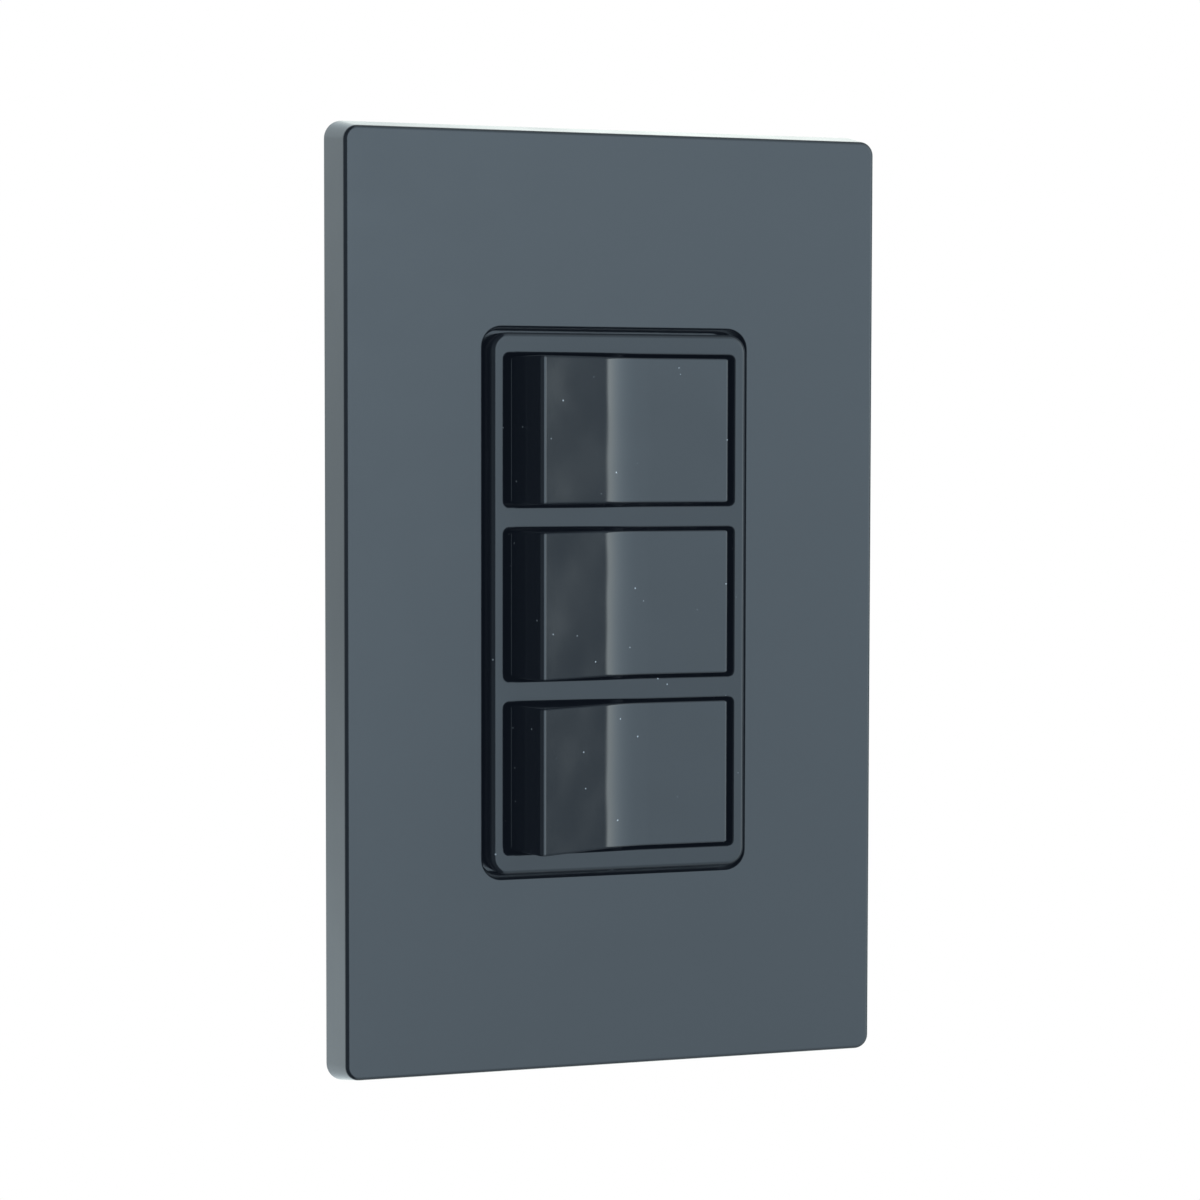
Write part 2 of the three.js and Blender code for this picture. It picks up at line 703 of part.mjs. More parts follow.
// a strip under one lever that turns up into a side plate with the screw's hole
function loadTerminal() {
  const [near, far] = SIDE_PLATE;
  const high = around(0, TERMINAL_HALF_HEIGHT);
  const strip = block([-far, PAD_END_X], [PAD_FRONT, PAD_FRONT + SHEET], around(0, LEVER_WIDTH / 2));
  const plate = block([-far, -near], [PAD_FRONT, PAD_FRONT + TERMINAL_REACH], high);
  const hole = barX(TERMINAL_SCREW_RADIUS + FIT, -far - PAST, -near + PAST, LOAD_SCREW_Y, 0);
  return cut(strip.add(plate), [hole]);
}

// an upright strip with a rounded finger under each lever, and one leg out to a screw
function commonTerminal() {
  const [near, far] = SIDE_PLATE;
  const half = SHEET / 2;
  const parts = [
    block(around(0, half), [BUS_FRONT, BUS_BACK], around(0, BUS_HALF_HEIGHT)),
    block([0, far], [BUS_BACK - SHEET, BUS_BACK], around(0, LEVER_WIDTH / 2)),
    block([near, far], [BUS_BACK - TERMINAL_REACH, BUS_BACK], around(0, TERMINAL_HALF_HEIGHT)),
  ];
  for (const z of Object.values(BAYS)) {
    const [low, high] = around(z, LEVER_WIDTH / 2);
    parts.push(block(around(0, half), [LEVER_PIVOT_Y, BUS_FRONT + ROOT], [low, high]));
    parts.push(barZ(half, low, high, 0, LEVER_PIVOT_Y));
  }
  const hole = barX(TERMINAL_SCREW_RADIUS + FIT, near - PAST, far + PAST, COMMON_SCREW_Y, 0);
  return cut(joined(parts), [hole]);
}

const CONTACT_RADIUS = 1.6;
const CONTACT_EDGE = 0.45;
const CONTACT_CROWN = 0.32;
const CONTACT_STEM_RADIUS = 0.7;
const CONTACT_STEM = 1.2;
const CONTACT_LIFT = 0.2;

// a domed contact: its flat back is at Y = 0 and its crown points toward +Y
const contactDome = () => [
  [CONTACT_RADIUS, 0],
  [CONTACT_RADIUS, CONTACT_EDGE],
  [CONTACT_RADIUS * 0.6, CONTACT_EDGE + CONTACT_CROWN * 0.7],
  [0, CONTACT_EDGE + CONTACT_CROWN],
];

const fixedContact = () => turned([[0, 0], ...contactDome()]).rotate([180, 0, 0]);

// the moving contact has a stem that is riveted into its lever
function movingContact() {
  return turned([
    [0, -CONTACT_STEM],
    [CONTACT_STEM_RADIUS, -CONTACT_STEM],
    [CONTACT_STEM_RADIUS, 0],
    ...contactDome(),
  ]);
}

// ---------------------------------------------------------------------------- lever

// the two cheeks that straddle the common terminal's finger
const CHEEK_NEAR = SHEET / 2 + 0.45;
const CHEEK_FAR = SHEET / 2 + 1.15;
const CHEEK_ROOT = 0.2;

// drawn about the lever's own pivot, lying flat
function contactLever() {
  const front = -LEVER_STANDOFF - LEVER_THICK;
  const blade = block(around(0, LEVER_HALF_LENGTH), [front, -LEVER_STANDOFF], around(0, LEVER_WIDTH / 2));
  const cheeks = SIDES.map((s) => block(
    onSide(s, CHEEK_NEAR, CHEEK_FAR),
    [-LEVER_STANDOFF - CHEEK_ROOT, LEVER_STANDOFF],
    around(0, LEVER_WIDTH / 2),
  ));
  const stemHole = barY(CONTACT_STEM_RADIUS + PLAY, front - PAST, 0, -CONTACT_X, 0);
  return cut(joined([blade, ...cheeks]), [stemHole]);
}

// --------------------------------------------------------------------------- rocker

const BOSS_RADIUS = 3.7;
const BORE_RADIUS = 2.2;
const BOSS_BACK = 6.5;
const BORE_FRONT = -VALLEY_DEPTH + ROCKER_WALL + 0.2;
const TIP_ROUNDING = 0.5;

// the rocker's front, drawn about the pivot: two flats leaning in by the swing to a
// rounded valley, with slightly rounded outer ends; `inset` moves it back and inward
function rockerOutline(inset, back) {
  const half = ROCKER_HALF_WIDTH - inset;
  const slope = Math.tan(SWING);
  const valley = -VALLEY_DEPTH + inset / Math.cos(SWING);
  const arcRadius = VALLEY_RADIUS + inset;
  const arcCentre = valley - arcRadius / Math.cos(SWING);
  const tip = valley - (half - TIP_ROUNDING) * slope;
  const outline = new THREE.Shape();
  outline.moveTo(half, back);
  outline.lineTo(-half, back);
  outline.lineTo(-half, tip + TIP_ROUNDING);
  outline.quadraticCurveTo(-half, tip - TIP_ROUNDING * slope, -half + TIP_ROUNDING, tip);
  outline.absarc(0, arcCentre, arcRadius, Math.PI / 2 + SWING, Math.PI / 2 - SWING, true);
  outline.lineTo(half - TIP_ROUNDING, tip);
  outline.quadraticCurveTo(half, tip - TIP_ROUNDING * slope, half, tip + TIP_ROUNDING);
  outline.closePath();
  return outline;
}

function rocker() {
  const halfHeight = ROCKER_HEIGHT / 2;
  const shell = cut(prism(rockerOutline(0, ROCKER_SKIRT), ROCKER_HEIGHT), [
    prism(rockerOutline(ROCKER_WALL, ROCKER_SKIRT + PAST), ROCKER_HEIGHT - 2 * ROCKER_WALL),
  ]);
  const boss = barY(BOSS_RADIUS, -VALLEY_DEPTH + ROOT, BOSS_BACK, 0, 0, WIDE_ROUND_STEPS);
  const pinEnd = OPENING_HEIGHT / 2 + PIN_REACH;
  const pins = SIDES.map((s) => barZ(PIN_RADIUS, ...onSide(s, halfHeight - ROOT, pinEnd), 0, 0));
  const bore = barY(BORE_RADIUS, BORE_FRONT, BOSS_BACK + PAST, 0, 0);
  return cut(joined([shell, boss, ...pins]), [bore]);
}

// -------------------------------------------------------------- plunger and spring

const NOSE_RADIUS = 1.4;
const PLUNGER_RADIUS = 2;
const PLUNGER_SHOULDER = 3.5;
const NOSE_STEPS = 5;
const NOSE_GAP = 0.15;
const LEVER_FACE_Y = LEVER_PIVOT_Y - LEVER_STANDOFF - LEVER_THICK;
const NOSE_CENTRE = LEVER_FACE_Y - ROCKER_PIVOT_Y - NOSE_RADIUS - NOSE_GAP;
const PEG_RADIUS = 1;
const PEG_LENGTH = 2;
const WIRE_RADIUS = 0.22;
const COIL_RADIUS = 1.55;
const COIL_TURNS = 4.5;
const COIL_END_GAP = 0.05;
const COIL_STEPS_PER_TURN = 12;

// a round-nosed pin: the peg sits inside the spring, the nose rides on the lever
function plunger() {
  const nose = [];
  for (let i = 0; i < NOSE_STEPS; i += 1) {
    const angle = (i / NOSE_STEPS) * Math.PI / 2;
    nose.push([NOSE_RADIUS * Math.cos(angle), NOSE_CENTRE + NOSE_RADIUS * Math.sin(angle)]);
  }
  return turned([
    [0, PLUNGER_SHOULDER - PEG_LENGTH],
    [PEG_RADIUS, PLUNGER_SHOULDER - PEG_LENGTH],
    [PEG_RADIUS, PLUNGER_SHOULDER],
    [PLUNGER_RADIUS, PLUNGER_SHOULDER],
    [PLUNGER_RADIUS, NOSE_CENTRE - 2 * (PLUNGER_RADIUS - NOSE_RADIUS)],
    ...nose,
    [0, NOSE_CENTRE + NOSE_RADIUS],
  ]);
}

function plungerSpring() {
  class Helix extends THREE.Curve {
    getPoint(t, target = new THREE.Vector3()) {
      const angle = t * COIL_TURNS * 2 * Math.PI;
      const low = BORE_FRONT + WIRE_RADIUS + COIL_END_GAP;
      const high = PLUNGER_SHOULDER - WIRE_RADIUS - COIL_END_GAP;
      const x = COIL_RADIUS * Math.cos(angle);
      const z = COIL_RADIUS * Math.sin(angle);
      return target.set(x, low + (high - low) * t, z);
    }
  }
  const wire = new THREE.Shape().absarc(0, 0, WIRE_RADIUS, 0, 2 * Math.PI, false);
  return toManifold(new THREE.ExtrudeGeometry(wire, {
    extrudePath: new Helix(),
    steps: COIL_TURNS * COIL_STEPS_PER_TURN,
    curveSegments: 3,
  }));
}

// ------------------------------------------------------------------------- assembly

const product = new THREE.Group();
product.name = 'wall_plate_triple_rocker';
const plate = new THREE.Group();
plate.name = 'plate_and_switch';
plate.position.z = COVER_HEIGHT / 2;
product.add(plate);

function fit(parent, name, solid, material, [x, y, z] = [0, 0, 0]) {
  const mesh = piece(name, solid, material);
  mesh.position.set(x, y, z);
  parent.add(mesh);
}

fit(plate, 'cover_plate', coverPlate(), blackSatin);
fit(plate, 'sub_plate', subPlate(), blackBody);
fit(plate, 'mounting_strap', mountingStrap(), zincSteel);
fit(plate, 'switch_bezel', switchBezel(), blackGloss);
fit(plate, 'switch_housing', switchHousing(), blackBody);
fit(plate, 'common_terminal', commonTerminal(), brass);

for (const [end, side] of [['top', 1], ['bottom', -1]]) {
  fit(plate, `sub_plate_screw_${end}`, plateScrew(), blackScrew, [0, 0, side * PLATE_SCREW_Z]);
  fit(plate, `device_screw_${end}`, deviceScrew(), zincSteel, [0, 0, side * DEVICE_SCREW_Z]);
  fit(plate, `rivet_${end}_left`, rivet(), zincSteel, [-RIVET_X, 0, side * RIVET_Z]);
  fit(plate, `rivet_${end}_right`, rivet(), zincSteel, [RIVET_X, 0, side * RIVET_Z]);
}

const SIDE_SCREW_LENGTH = 4.6;
const GROUND_SCREW_LENGTH = 3.8;
const [, PLATE_OUTSIDE] = SIDE_PLATE;
const groundAt = [-STRAP_HALF_WIDTH, GROUND_Y, GROUND_Z];
const commonAt = [PLATE_OUTSIDE, COMMON_SCREW_Y, 0];
fit(plate, 'ground_screw', sideScrew(GROUND_SCREW_LENGTH), greenScrew, groundAt);
fit(plate, 'common_screw', sideScrew(SIDE_SCREW_LENGTH).rotate([0, 0, 180]), blackScrew, commonAt);

for (const [bay, z] of Object.entries(BAYS)) {
  fit(plate, `load_terminal_${bay}`, loadTerminal(), brass, [0, 0, z]);
  const screwAt = [-PLATE_OUTSIDE, LOAD_SCREW_Y, z];
  fit(plate, `load_screw_${bay}`, sideScrew(SIDE_SCREW_LENGTH), brass, screwAt);
  fit(plate, `fixed_contact_${bay}`, fixedContact(), silver, [-CONTACT_X, PAD_FRONT, z]);

  const rockerGroup = new THREE.Group();
  rockerGroup.name = `rocker_assembly_${bay}`;
  rockerGroup.position.set(0, ROCKER_PIVOT_Y, z);
  rockerGroup.rotation.z = SWING;
  fit(rockerGroup, `rocker_${bay}`, rocker(), blackGloss);
  fit(rockerGroup, `plunger_${bay}`, plunger(), paleNylon);
  fit(rockerGroup, `plunger_spring_${bay}`, plungerSpring(), zincSteel);
  plate.add(rockerGroup);

  const leverGroup = new THREE.Group();
  leverGroup.name = `lever_assembly_${bay}`;
  leverGroup.position.set(0, LEVER_PIVOT_Y, z);
  leverGroup.rotation.z = -LEVER_TILT;
  fit(leverGroup, `contact_lever_${bay}`, contactLever(), copperAlloy);
  const contactAt = [-CONTACT_X, -LEVER_STANDOFF + CONTACT_LIFT, 0];
  fit(leverGroup, `moving_contact_${bay}`, movingContact(), silver, contactAt);
  plate.add(leverGroup);
}

export default product;
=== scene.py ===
"""A screwless wall plate with the triple rocker switch it covers: shapes and finishes.

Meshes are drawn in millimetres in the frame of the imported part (X right, Y back, Z up) and
stored in metres.  The plate stands upright on a pale studio floor.
"""
import json
import math

import bmesh
import bpy
from mathutils import Matrix, Vector


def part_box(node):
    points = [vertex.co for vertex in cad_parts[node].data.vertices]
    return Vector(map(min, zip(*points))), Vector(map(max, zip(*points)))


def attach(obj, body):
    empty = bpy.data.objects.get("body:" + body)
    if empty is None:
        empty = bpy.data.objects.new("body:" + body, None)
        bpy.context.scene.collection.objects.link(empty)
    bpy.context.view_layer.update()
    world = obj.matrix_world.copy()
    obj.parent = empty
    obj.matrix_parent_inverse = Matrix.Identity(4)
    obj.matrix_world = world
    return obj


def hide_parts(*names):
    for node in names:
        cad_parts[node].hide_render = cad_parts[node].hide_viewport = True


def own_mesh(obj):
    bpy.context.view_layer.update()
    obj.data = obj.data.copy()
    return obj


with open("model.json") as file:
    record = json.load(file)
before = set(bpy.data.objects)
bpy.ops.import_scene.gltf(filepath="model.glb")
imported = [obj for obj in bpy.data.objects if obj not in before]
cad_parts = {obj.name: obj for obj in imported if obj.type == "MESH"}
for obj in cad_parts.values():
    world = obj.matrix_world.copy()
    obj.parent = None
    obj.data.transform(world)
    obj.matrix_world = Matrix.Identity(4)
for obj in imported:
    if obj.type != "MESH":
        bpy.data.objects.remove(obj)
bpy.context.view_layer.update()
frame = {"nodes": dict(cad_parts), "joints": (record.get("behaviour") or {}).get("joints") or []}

MM = 0.001
BAYS = ("top", "middle", "bottom")
ENDS = {"top": 1, "bottom": -1}
SIDES = (-1, 1)
CORNERS = [(x, z) for x in SIDES for z in SIDES]
JOINTS = {joint["name"]: joint for joint in frame["joints"]}


def box_mm(node):
    """Lowest and highest corner of a CAD node, in millimetres."""
    low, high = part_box(node)
    return low / MM, high / MM


def middle_mm(node):
    """Centre of a CAD node's box, in millimetres."""
    low, high = box_mm(node)
    return (low + high) / 2


# ---- places in the frame

COVER_LOW, COVER_HIGH = box_mm("cover_plate")
COVER_WIDTH = COVER_HIGH.x - COVER_LOW.x
COVER_HEIGHT = COVER_HIGH.z - COVER_LOW.z
COVER_FRONT = COVER_LOW.y
MID_Z = (COVER_LOW.z + COVER_HIGH.z) / 2

BEZEL_LOW, BEZEL_HIGH = box_mm("switch_bezel")
BEZEL_FRONT = BEZEL_LOW.y
FOOT_WIDTH = BEZEL_HIGH.x - BEZEL_LOW.x
FOOT_HEIGHT = BEZEL_HIGH.z - BEZEL_LOW.z

STRAP_LOW, STRAP_HIGH = box_mm("mounting_strap")
STRAP_FRONT = STRAP_LOW.y
STRAP_HALF_WIDTH = STRAP_HIGH.x

SUB_LOW, SUB_HIGH = box_mm("sub_plate")
HOUSING_HIGH = box_mm("switch_housing")[1]

ROCKER_PIVOT = {
    bay: Vector(JOINTS[f"rocker_{bay}_swing"]["pos_m"]) / MM for bay in BAYS
}
SWING = math.radians(-JOINTS["rocker_top_swing"]["range_deg"][0] / 2)
PITCH = ROCKER_PIVOT["top"].z - ROCKER_PIVOT["middle"].z
DEVICE_SCREW_Z = middle_mm("device_screw_top").z - MID_Z
PLATE_SCREW_Z = middle_mm("sub_plate_screw_top").z - MID_Z

# ---- proportions

# cover
DRAFT = 0.95
COVER_CORNER = 2.2
COVER_EDGE = 0.5
COVER_FACE = 1.6
COVER_RIM = 1.9
COVER_RIM_CORNER = 1.2
WINDOW_WIDTH = 33.85
WINDOW_HEIGHT = 66.8
WINDOW_CORNER = 2.4
WINDOW_EDGE = 0.2
HOOK_X = 27.5
HOOK_Z = 38
HOOK_WIDTH = 8
HOOK_THICK = 1
HOOK_TIP = -1
HOOK_FOOT_THICK = 2.2

# bezel: the foot is a little wider than the face
BEZEL_FLANGE = 0.6
FLANGE_THICK = 0.8
BEZEL_WIDTH = FOOT_WIDTH - 2 * BEZEL_FLANGE
BEZEL_HEIGHT = FOOT_HEIGHT - 2 * BEZEL_FLANGE
BEZEL_EDGE = 0.6
BEZEL_CORNER = 2.2
OPENING_WIDTH = 29.5
OPENING_HEIGHT = 18.4
OPENING_CORNER = 0.7
OPENING_EDGE = 0.22
LEG_X = 9
LEG_WIDTH = 4
LEG_INSET = 1.5
BARB_REACH = 0.7
BARB_SPAN = (0.1, 1.6)

# rocker
ROCKER_HALF_WIDTH = 13.4
ROCKER_HEIGHT = 17.7
ROCKER_WALL = 1.5
ROCKER_SKIRT = 4
ROCKER_EDGE = 0.3
TIP_ROUNDING = 0.5
VALLEY_DEPTH = 2.4
VALLEY_RADIUS = 15
PIN_RADIUS = 1.1
PIN_REACH = 0.75
PIN_PLAY = 0.1
PIN_END_PLAY = 0.15
BOSS_RADIUS = 3.7
BORE_RADIUS = 2.2
BOSS_BACK = 6.5
BOSS_STEPS = 40
BORE_FRONT = -VALLEY_DEPTH + ROCKER_WALL + 0.2
PARTING_DEPTH = 1.9
PARTING_RADIUS = 0.07

# strap and its screws
STRAP_BODY_HALF_HEIGHT = 39.5
STRAP_NECK_HALF_WIDTH = 11
EAR_LOBE = Vector((12, 47.5))
EAR_LOBE_RADIUS = 5.5
SCREW_RADIUS = 1.75
THREAD_PITCH = 0.8
SLOT_WIDTH = 1.1

# a cutting tool runs this far past the surface it opens
PAST = 1
# a piece that grows out of another is rooted this deep in it
ROOT = 0.3
DEEP_ROOT = 0.5
# edges that bend more than this stay sharp, or are rounded
SHARP_ANGLE = math.radians(38)
QUARTER_STEPS = 4
FINE_STEPS = 6


# ---- mesh tools

def arc(centre, radius, start, end, steps):
    """Points on an arc in a plane, from start to end degrees."""
    points = []
    for i in range(steps + 1):
        angle = math.radians(start + (end - start) * i / steps)
        points.append((centre[0] + radius * math.cos(angle), centre[1] + radius * math.sin(angle)))
    return points


def rounded_rectangle(width, height, radius, x=0, z=MID_Z, steps=10):
    """The outline of a rectangle with round corners, in X and Z."""
    right = x + width / 2 - radius
    left = x - width / 2 + radius
    top = z + height / 2 - radius
    bottom = z - height / 2 + radius
    return (
        arc((right, top), radius, 0, 90, steps)
        + arc((left, top), radius, 90, 180, steps)
        + arc((left, bottom), radius, 180, 270, steps)
        + arc((right, bottom), radius, 270, 360, steps)
    )


def quarter_round(edge, steps=QUARTER_STEPS):
    """How far a quarter-round is in and back, from the wall it starts on to the face."""
    angles = [math.pi / 2 * i / steps for i in range(steps + 1)]
    return [(edge * (1 - math.cos(angle)), edge * (1 - math.sin(angle))) for angle in angles]


def at_y(outline, y):
    """An outline in X and Z as a ring of points at one depth."""
    return [Vector((x, y, z)) for x, z in outline]


def at_z(outline, z):
    """An outline in X and Y as a ring of points at one height."""
    return [Vector((x, y, z)) for x, y in outline]


def loft(bm, rings, cyclic=False):
    """Joins closed rings of equally many points into a skin, capped unless it is cyclic."""
    rows = [[bm.verts.new(point) for point in ring] for ring in rings]
    pairs = list(zip(rows, rows[1:]))
    if cyclic:
        pairs.append((rows[-1], rows[0]))
    for one, two in pairs:
        for i in range(len(one)):
            j = (i + 1) % len(one)
            bm.faces.new((one[i], one[j], two[j], two[i]))
    if not cyclic:
        bm.faces.new(rows[0][::-1])
        bm.faces.new(rows[-1])


def block(bm, x, y, z):
    """A box from its spans in X, Y and Z."""
    outline = [(x[1], z[1]), (x[0], z[1]), (x[0], z[0]), (x[1], z[0])]
    loft(bm, [at_y(outline, y[0]), at_y(outline, y[1])])


def around(middle, half):
    """The span that reaches half to each side of the middle."""
    return (middle - half, middle + half)


def on_side(side, near, far, middle=0):
    """The span from near to far past the middle, on the side -1 or 1, lowest first."""
    return (middle - far, middle - near) if side < 0 else (middle + near, middle + far)


def circle(radius, x=0, z=0, steps=28):
    """The closed outline of a circle."""
    return arc((x, z), radius, 0, 360 * (steps - 1) / steps, steps - 1)


def turned(bm, profile, place=None, steps=40):
    """A solid of revolution about Y from (radius, y) points, closed flat at both ends."""
    place = place or Matrix.Identity(4)
    rings = []
    for radius, y in profile:
        rings.append([place @ Vector((x, y, z)) for x, z in circle(radius, steps=steps)])
    loft(bm, rings)


def bar(bm, radius, start, end, steps=32):
    """A round bar between two points."""
    axis = Vector(end) - Vector(start)
    place = Matrix.Translation(Vector(start)) @ axis.to_track_quat("Y", "Z").to_matrix().to_4x4()
    turned(bm, [(radius, 0), (radius, axis.length)], place, steps)


def thread(bm, y0, y1, root, depth, place):
    """A screw thread about Y: a tube whose radius follows a helical ridge."""
    around_steps = 24
    rows_per_pitch = 6
    rows = round((y1 - y0) / THREAD_PITCH * rows_per_pitch)
    rings = []
    for row in range(rows + 1):
        y = y0 + (y1 - y0) * row / rows
        fade = min(1.0, (rows - row) / rows_per_pitch)
        ring = []
        for step in range(around_steps):
            turn = step / around_steps
            ridge = abs(((y / THREAD_PITCH - turn) % 1) * 2 - 1)
            radius = root + depth * ridge * fade
            angle = 2 * math.pi * turn
            ring.append(place @ Vector((radius * math.cos(angle), y, radius * math.sin(angle))))
        rings.append(ring)
    loft(bm, rings)


def sheet(bm, outlines, y0, y1, edge):
    """A flat plate with rounded edges: the first outline is its rim, the others are holes."""
    curve = bpy.data.curves.new("outline", "CURVE")
    curve.dimensions = "2D"
    curve.fill_mode = "BOTH"
    curve.extrude = (y1 - y0) / 2 - edge
    curve.bevel_depth = edge
    curve.bevel_resolution = 2
    curve.offset = -edge
    for outline in outlines:
        spline = curve.splines.new("POLY")
        spline.points.add(len(outline) - 1)
        for point, (x, z) in zip(spline.points, outline):
            point.co = (x, z, 0, 1)
        spline.use_cyclic_u = True
    holder = bpy.data.objects.new("outline", curve)
    mesh = bpy.data.meshes.new_from_object(holder)
    mesh.transform(Matrix.Translation((0, (y0 + y1) / 2, 0)) @ Matrix.Rotation(math.pi / 2, 4, "X"))
    bm.from_mesh(mesh)
    bpy.data.objects.remove(holder)
    bpy.data.curves.remove(curve)
    bpy.data.meshes.remove(mesh)


def to_object(bm, name):
    """Closes a bmesh into an object of its own, in the units it was drawn in."""
    bmesh.ops.remove_doubles(bm, verts=bm.verts, dist=1e-5)
    bmesh.ops.recalc_face_normals(bm, faces=bm.faces)
    mesh = bpy.data.meshes.new(name)
    bm.to_mesh(mesh)
    bm.free()
    obj = bpy.data.objects.new(name, mesh)
    bpy.context.scene.collection.objects.link(obj)
    return obj


def carved(bm, tools):
    """The solid in bm less each tool; a tool is a function that draws into a bmesh."""
    body = to_object(bm, "body")
    for draw in tools:
        tool_bm = bmesh.new()
        draw(tool_bm)
        tool = to_object(tool_bm, "tool")
        cut = body.modifiers.new("cut", "BOOLEAN")
        cut.operation = "DIFFERENCE"
        cut.solver = "EXACT"
        cut.object = tool
        graph = bpy.context.evaluated_depsgraph_get()
        result = bpy.data.meshes.new_from_object(body.evaluated_get(graph), depsgraph=graph)
        body.modifiers.clear()
        body.data = result
        bpy.data.objects.remove(tool)
    out = bmesh.new()
    out.from_mesh(body.data)
    bpy.data.objects.remove(body)
    return out


def finished(bm, name, node, finish, body="switch_body", bevel=0.0, place=None, second=None):
    """Turns a bmesh into the piece that stands for a node: smooth, in metres, riding on its
    body, its edges rounded where asked.  Faces with material index 1 take the second finish."""
    if place is not None:
        bmesh.ops.transform(bm, matrix=place, verts=bm.verts)
    obj = to_object(bm, name)
    obj.data.transform(Matrix.Scale(MM, 4))
    obj.data.shade_smooth()
    obj.data.set_sharp_from_angle(angle=SHARP_ANGLE)
    if bevel:
        round_edges(obj, bevel).miter_outer = "MITER_ARC"
    keep_flats_flat(obj)
    material, slot = FINISHES[finish]
    obj.data.materials.append(material)
    if second:
        obj.data.materials.append(FINISHES[second][0])
    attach(obj, body)
    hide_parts(node)
    return obj


def round_edges(obj, bevel):
    """Rounds the sharp edges of a piece to a width in millimetres."""
    rounding = obj.modifiers.new("edges", "BEVEL")
    rounding.width = bevel * MM
    rounding.segments = 2
    rounding.limit_method = "ANGLE"
    rounding.angle_limit = SHARP_ANGLE
    return rounding


def keep_flats_flat(obj):
    """Shades flat faces as flat although their edges are smooth."""
    flat = obj.modifiers.new("flat", "WEIGHTED_NORMAL")
    flat.keep_sharp = True


def kept(node, finish, bevel):
    """A CAD node that is shown as it is, with softened edges and a finish."""
    obj = frame["nodes"][node]
    weld = obj.modifiers.new("weld", "WELD")
    weld.merge_threshold = 0.001 * MM
    merge = obj.modifiers.new("flats", "DECIMATE")
    merge.decimate_type = "DISSOLVE"
    merge.angle_limit = math.radians(1)
    round_edges(obj, bevel)
    keep_flats_flat(obj)
    if "custom_normal" in obj.data.attributes:
        obj.data.attributes.remove(obj.data.attributes["custom_normal"])
    obj.data.shade_smooth()
    material, slot = FINISHES[finish]
    obj.data.materials.clear()
    obj.data.materials.append(material)


# ---- finishes

BLACK = (0.0055, 0.0062, 0.0072)
DUST = (0.5, 0.52, 0.54)
DUST_SPACING = 2.4
DUST_SIZE = 0.26


class Graph:
    """A small helper to write node trees as calls."""

    def __init__(self, tree):
        self.tree = tree
        tree.nodes.clear()

    def add(self, kind, **settings):
        node = self.tree.nodes.new(kind)
        for key, value in settings.items():
            setattr(node, key, value)
        return node

    def feed(self, socket, value):
        if isinstance(value, bpy.types.NodeSocket):
            self.tree.links.new(value, socket)
        else:
            socket.default_value = value

    def supply(self, node, **inputs):
        for name, value in inputs.items():
            self.feed(node.inputs[name], value)

    def math(self, operation, a, b=0.0, c=0.0):
        node = self.add("ShaderNodeMath", operation=operation)
        for socket, value in zip(node.inputs, (a, b, c)):
            self.feed(socket, value)
        return node.outputs[0]

    def vector(self, operation, a, b):
        node = self.add("ShaderNodeVectorMath", operation=operation)
        self.feed(node.inputs[0], a)
        self.feed(node.inputs[1], b)
        return node.outputs["Value" if operation == "DOT_PRODUCT" else "Vector"]

    def noise(self, place, scale, detail=2.0, rough=0.5):
        node = self.add("ShaderNodeTexNoise")
        self.supply(node, Vector=place, Scale=scale, Detail=detail, Roughness=rough)
        return node.outputs["Fac"]

    def ramp(self, value, low, high, out_low=0.0, out_high=1.0):
        node = self.add("ShaderNodeMapRange", interpolation_type="SMOOTHSTEP")
        for socket, number in zip(node.inputs, (value, low, high, out_low, out_high)):
            self.feed(socket, number)
        return node.outputs["Result"]

    def mix(self, factor, a, b):
        node = self.add("ShaderNodeMix", data_type="RGBA")
        self.supply(node, Factor=factor, A=a, B=b)
        return node.outputs["Result"]

    def bump(self, height, strength, distance, under=None):
        node = self.add("ShaderNodeBump")
        if under is not None:
            self.feed(node.inputs["Normal"], under)
        self.supply(node, Height=height, Strength=strength, Distance=distance)
        return node.outputs["Normal"]


def rgb(colour, gain=1.0):
    """A colour times a gain, with full alpha."""
    return (colour[0] * gain, colour[1] * gain, colour[2] * gain, 1.0)


def new_surface(name):
    """A material, its graph, a call that feeds its shader, and the place it is looked up at."""
    material = bpy.data.materials.new(name)
    material.use_nodes = True
    graph = Graph(material.node_tree)
    shader = graph.add("ShaderNodeBsdfPrincipled")
    output = graph.add("ShaderNodeOutputMaterial")
    graph.feed(output.inputs["Surface"], shader.outputs[0])
    place = graph.add("ShaderNodeTexCoord").outputs["Object"]

    def shade(socket, value):
        graph.feed(shader.inputs[socket], value)

    return material, graph, shade, place


def edge_mask(graph, radius):
    """One along convex and concave edges, zero on open faces."""
    rounded = graph.add("ShaderNodeBevel", samples=4)
    graph.supply(rounded, Radius=radius * MM)
    sharp = graph.add("ShaderNodeNewGeometry").outputs["Normal"]
    agree = graph.vector("DOT_PRODUCT", rounded.outputs[0], sharp)
    open_face, edge = 0.995, 0.9
    return graph.ramp(agree, open_face, edge)


def dust(graph, place):
    """Sparse specks: where the surface cuts through small balls scattered in space."""
    cells = graph.add("ShaderNodeTexVoronoi")
    graph.supply(cells, Vector=place, Scale=1 / (DUST_SPACING * MM))
    reach = DUST_SIZE / 2 / DUST_SPACING
    return graph.ramp(cells.outputs["Distance"], reach, reach / 2)


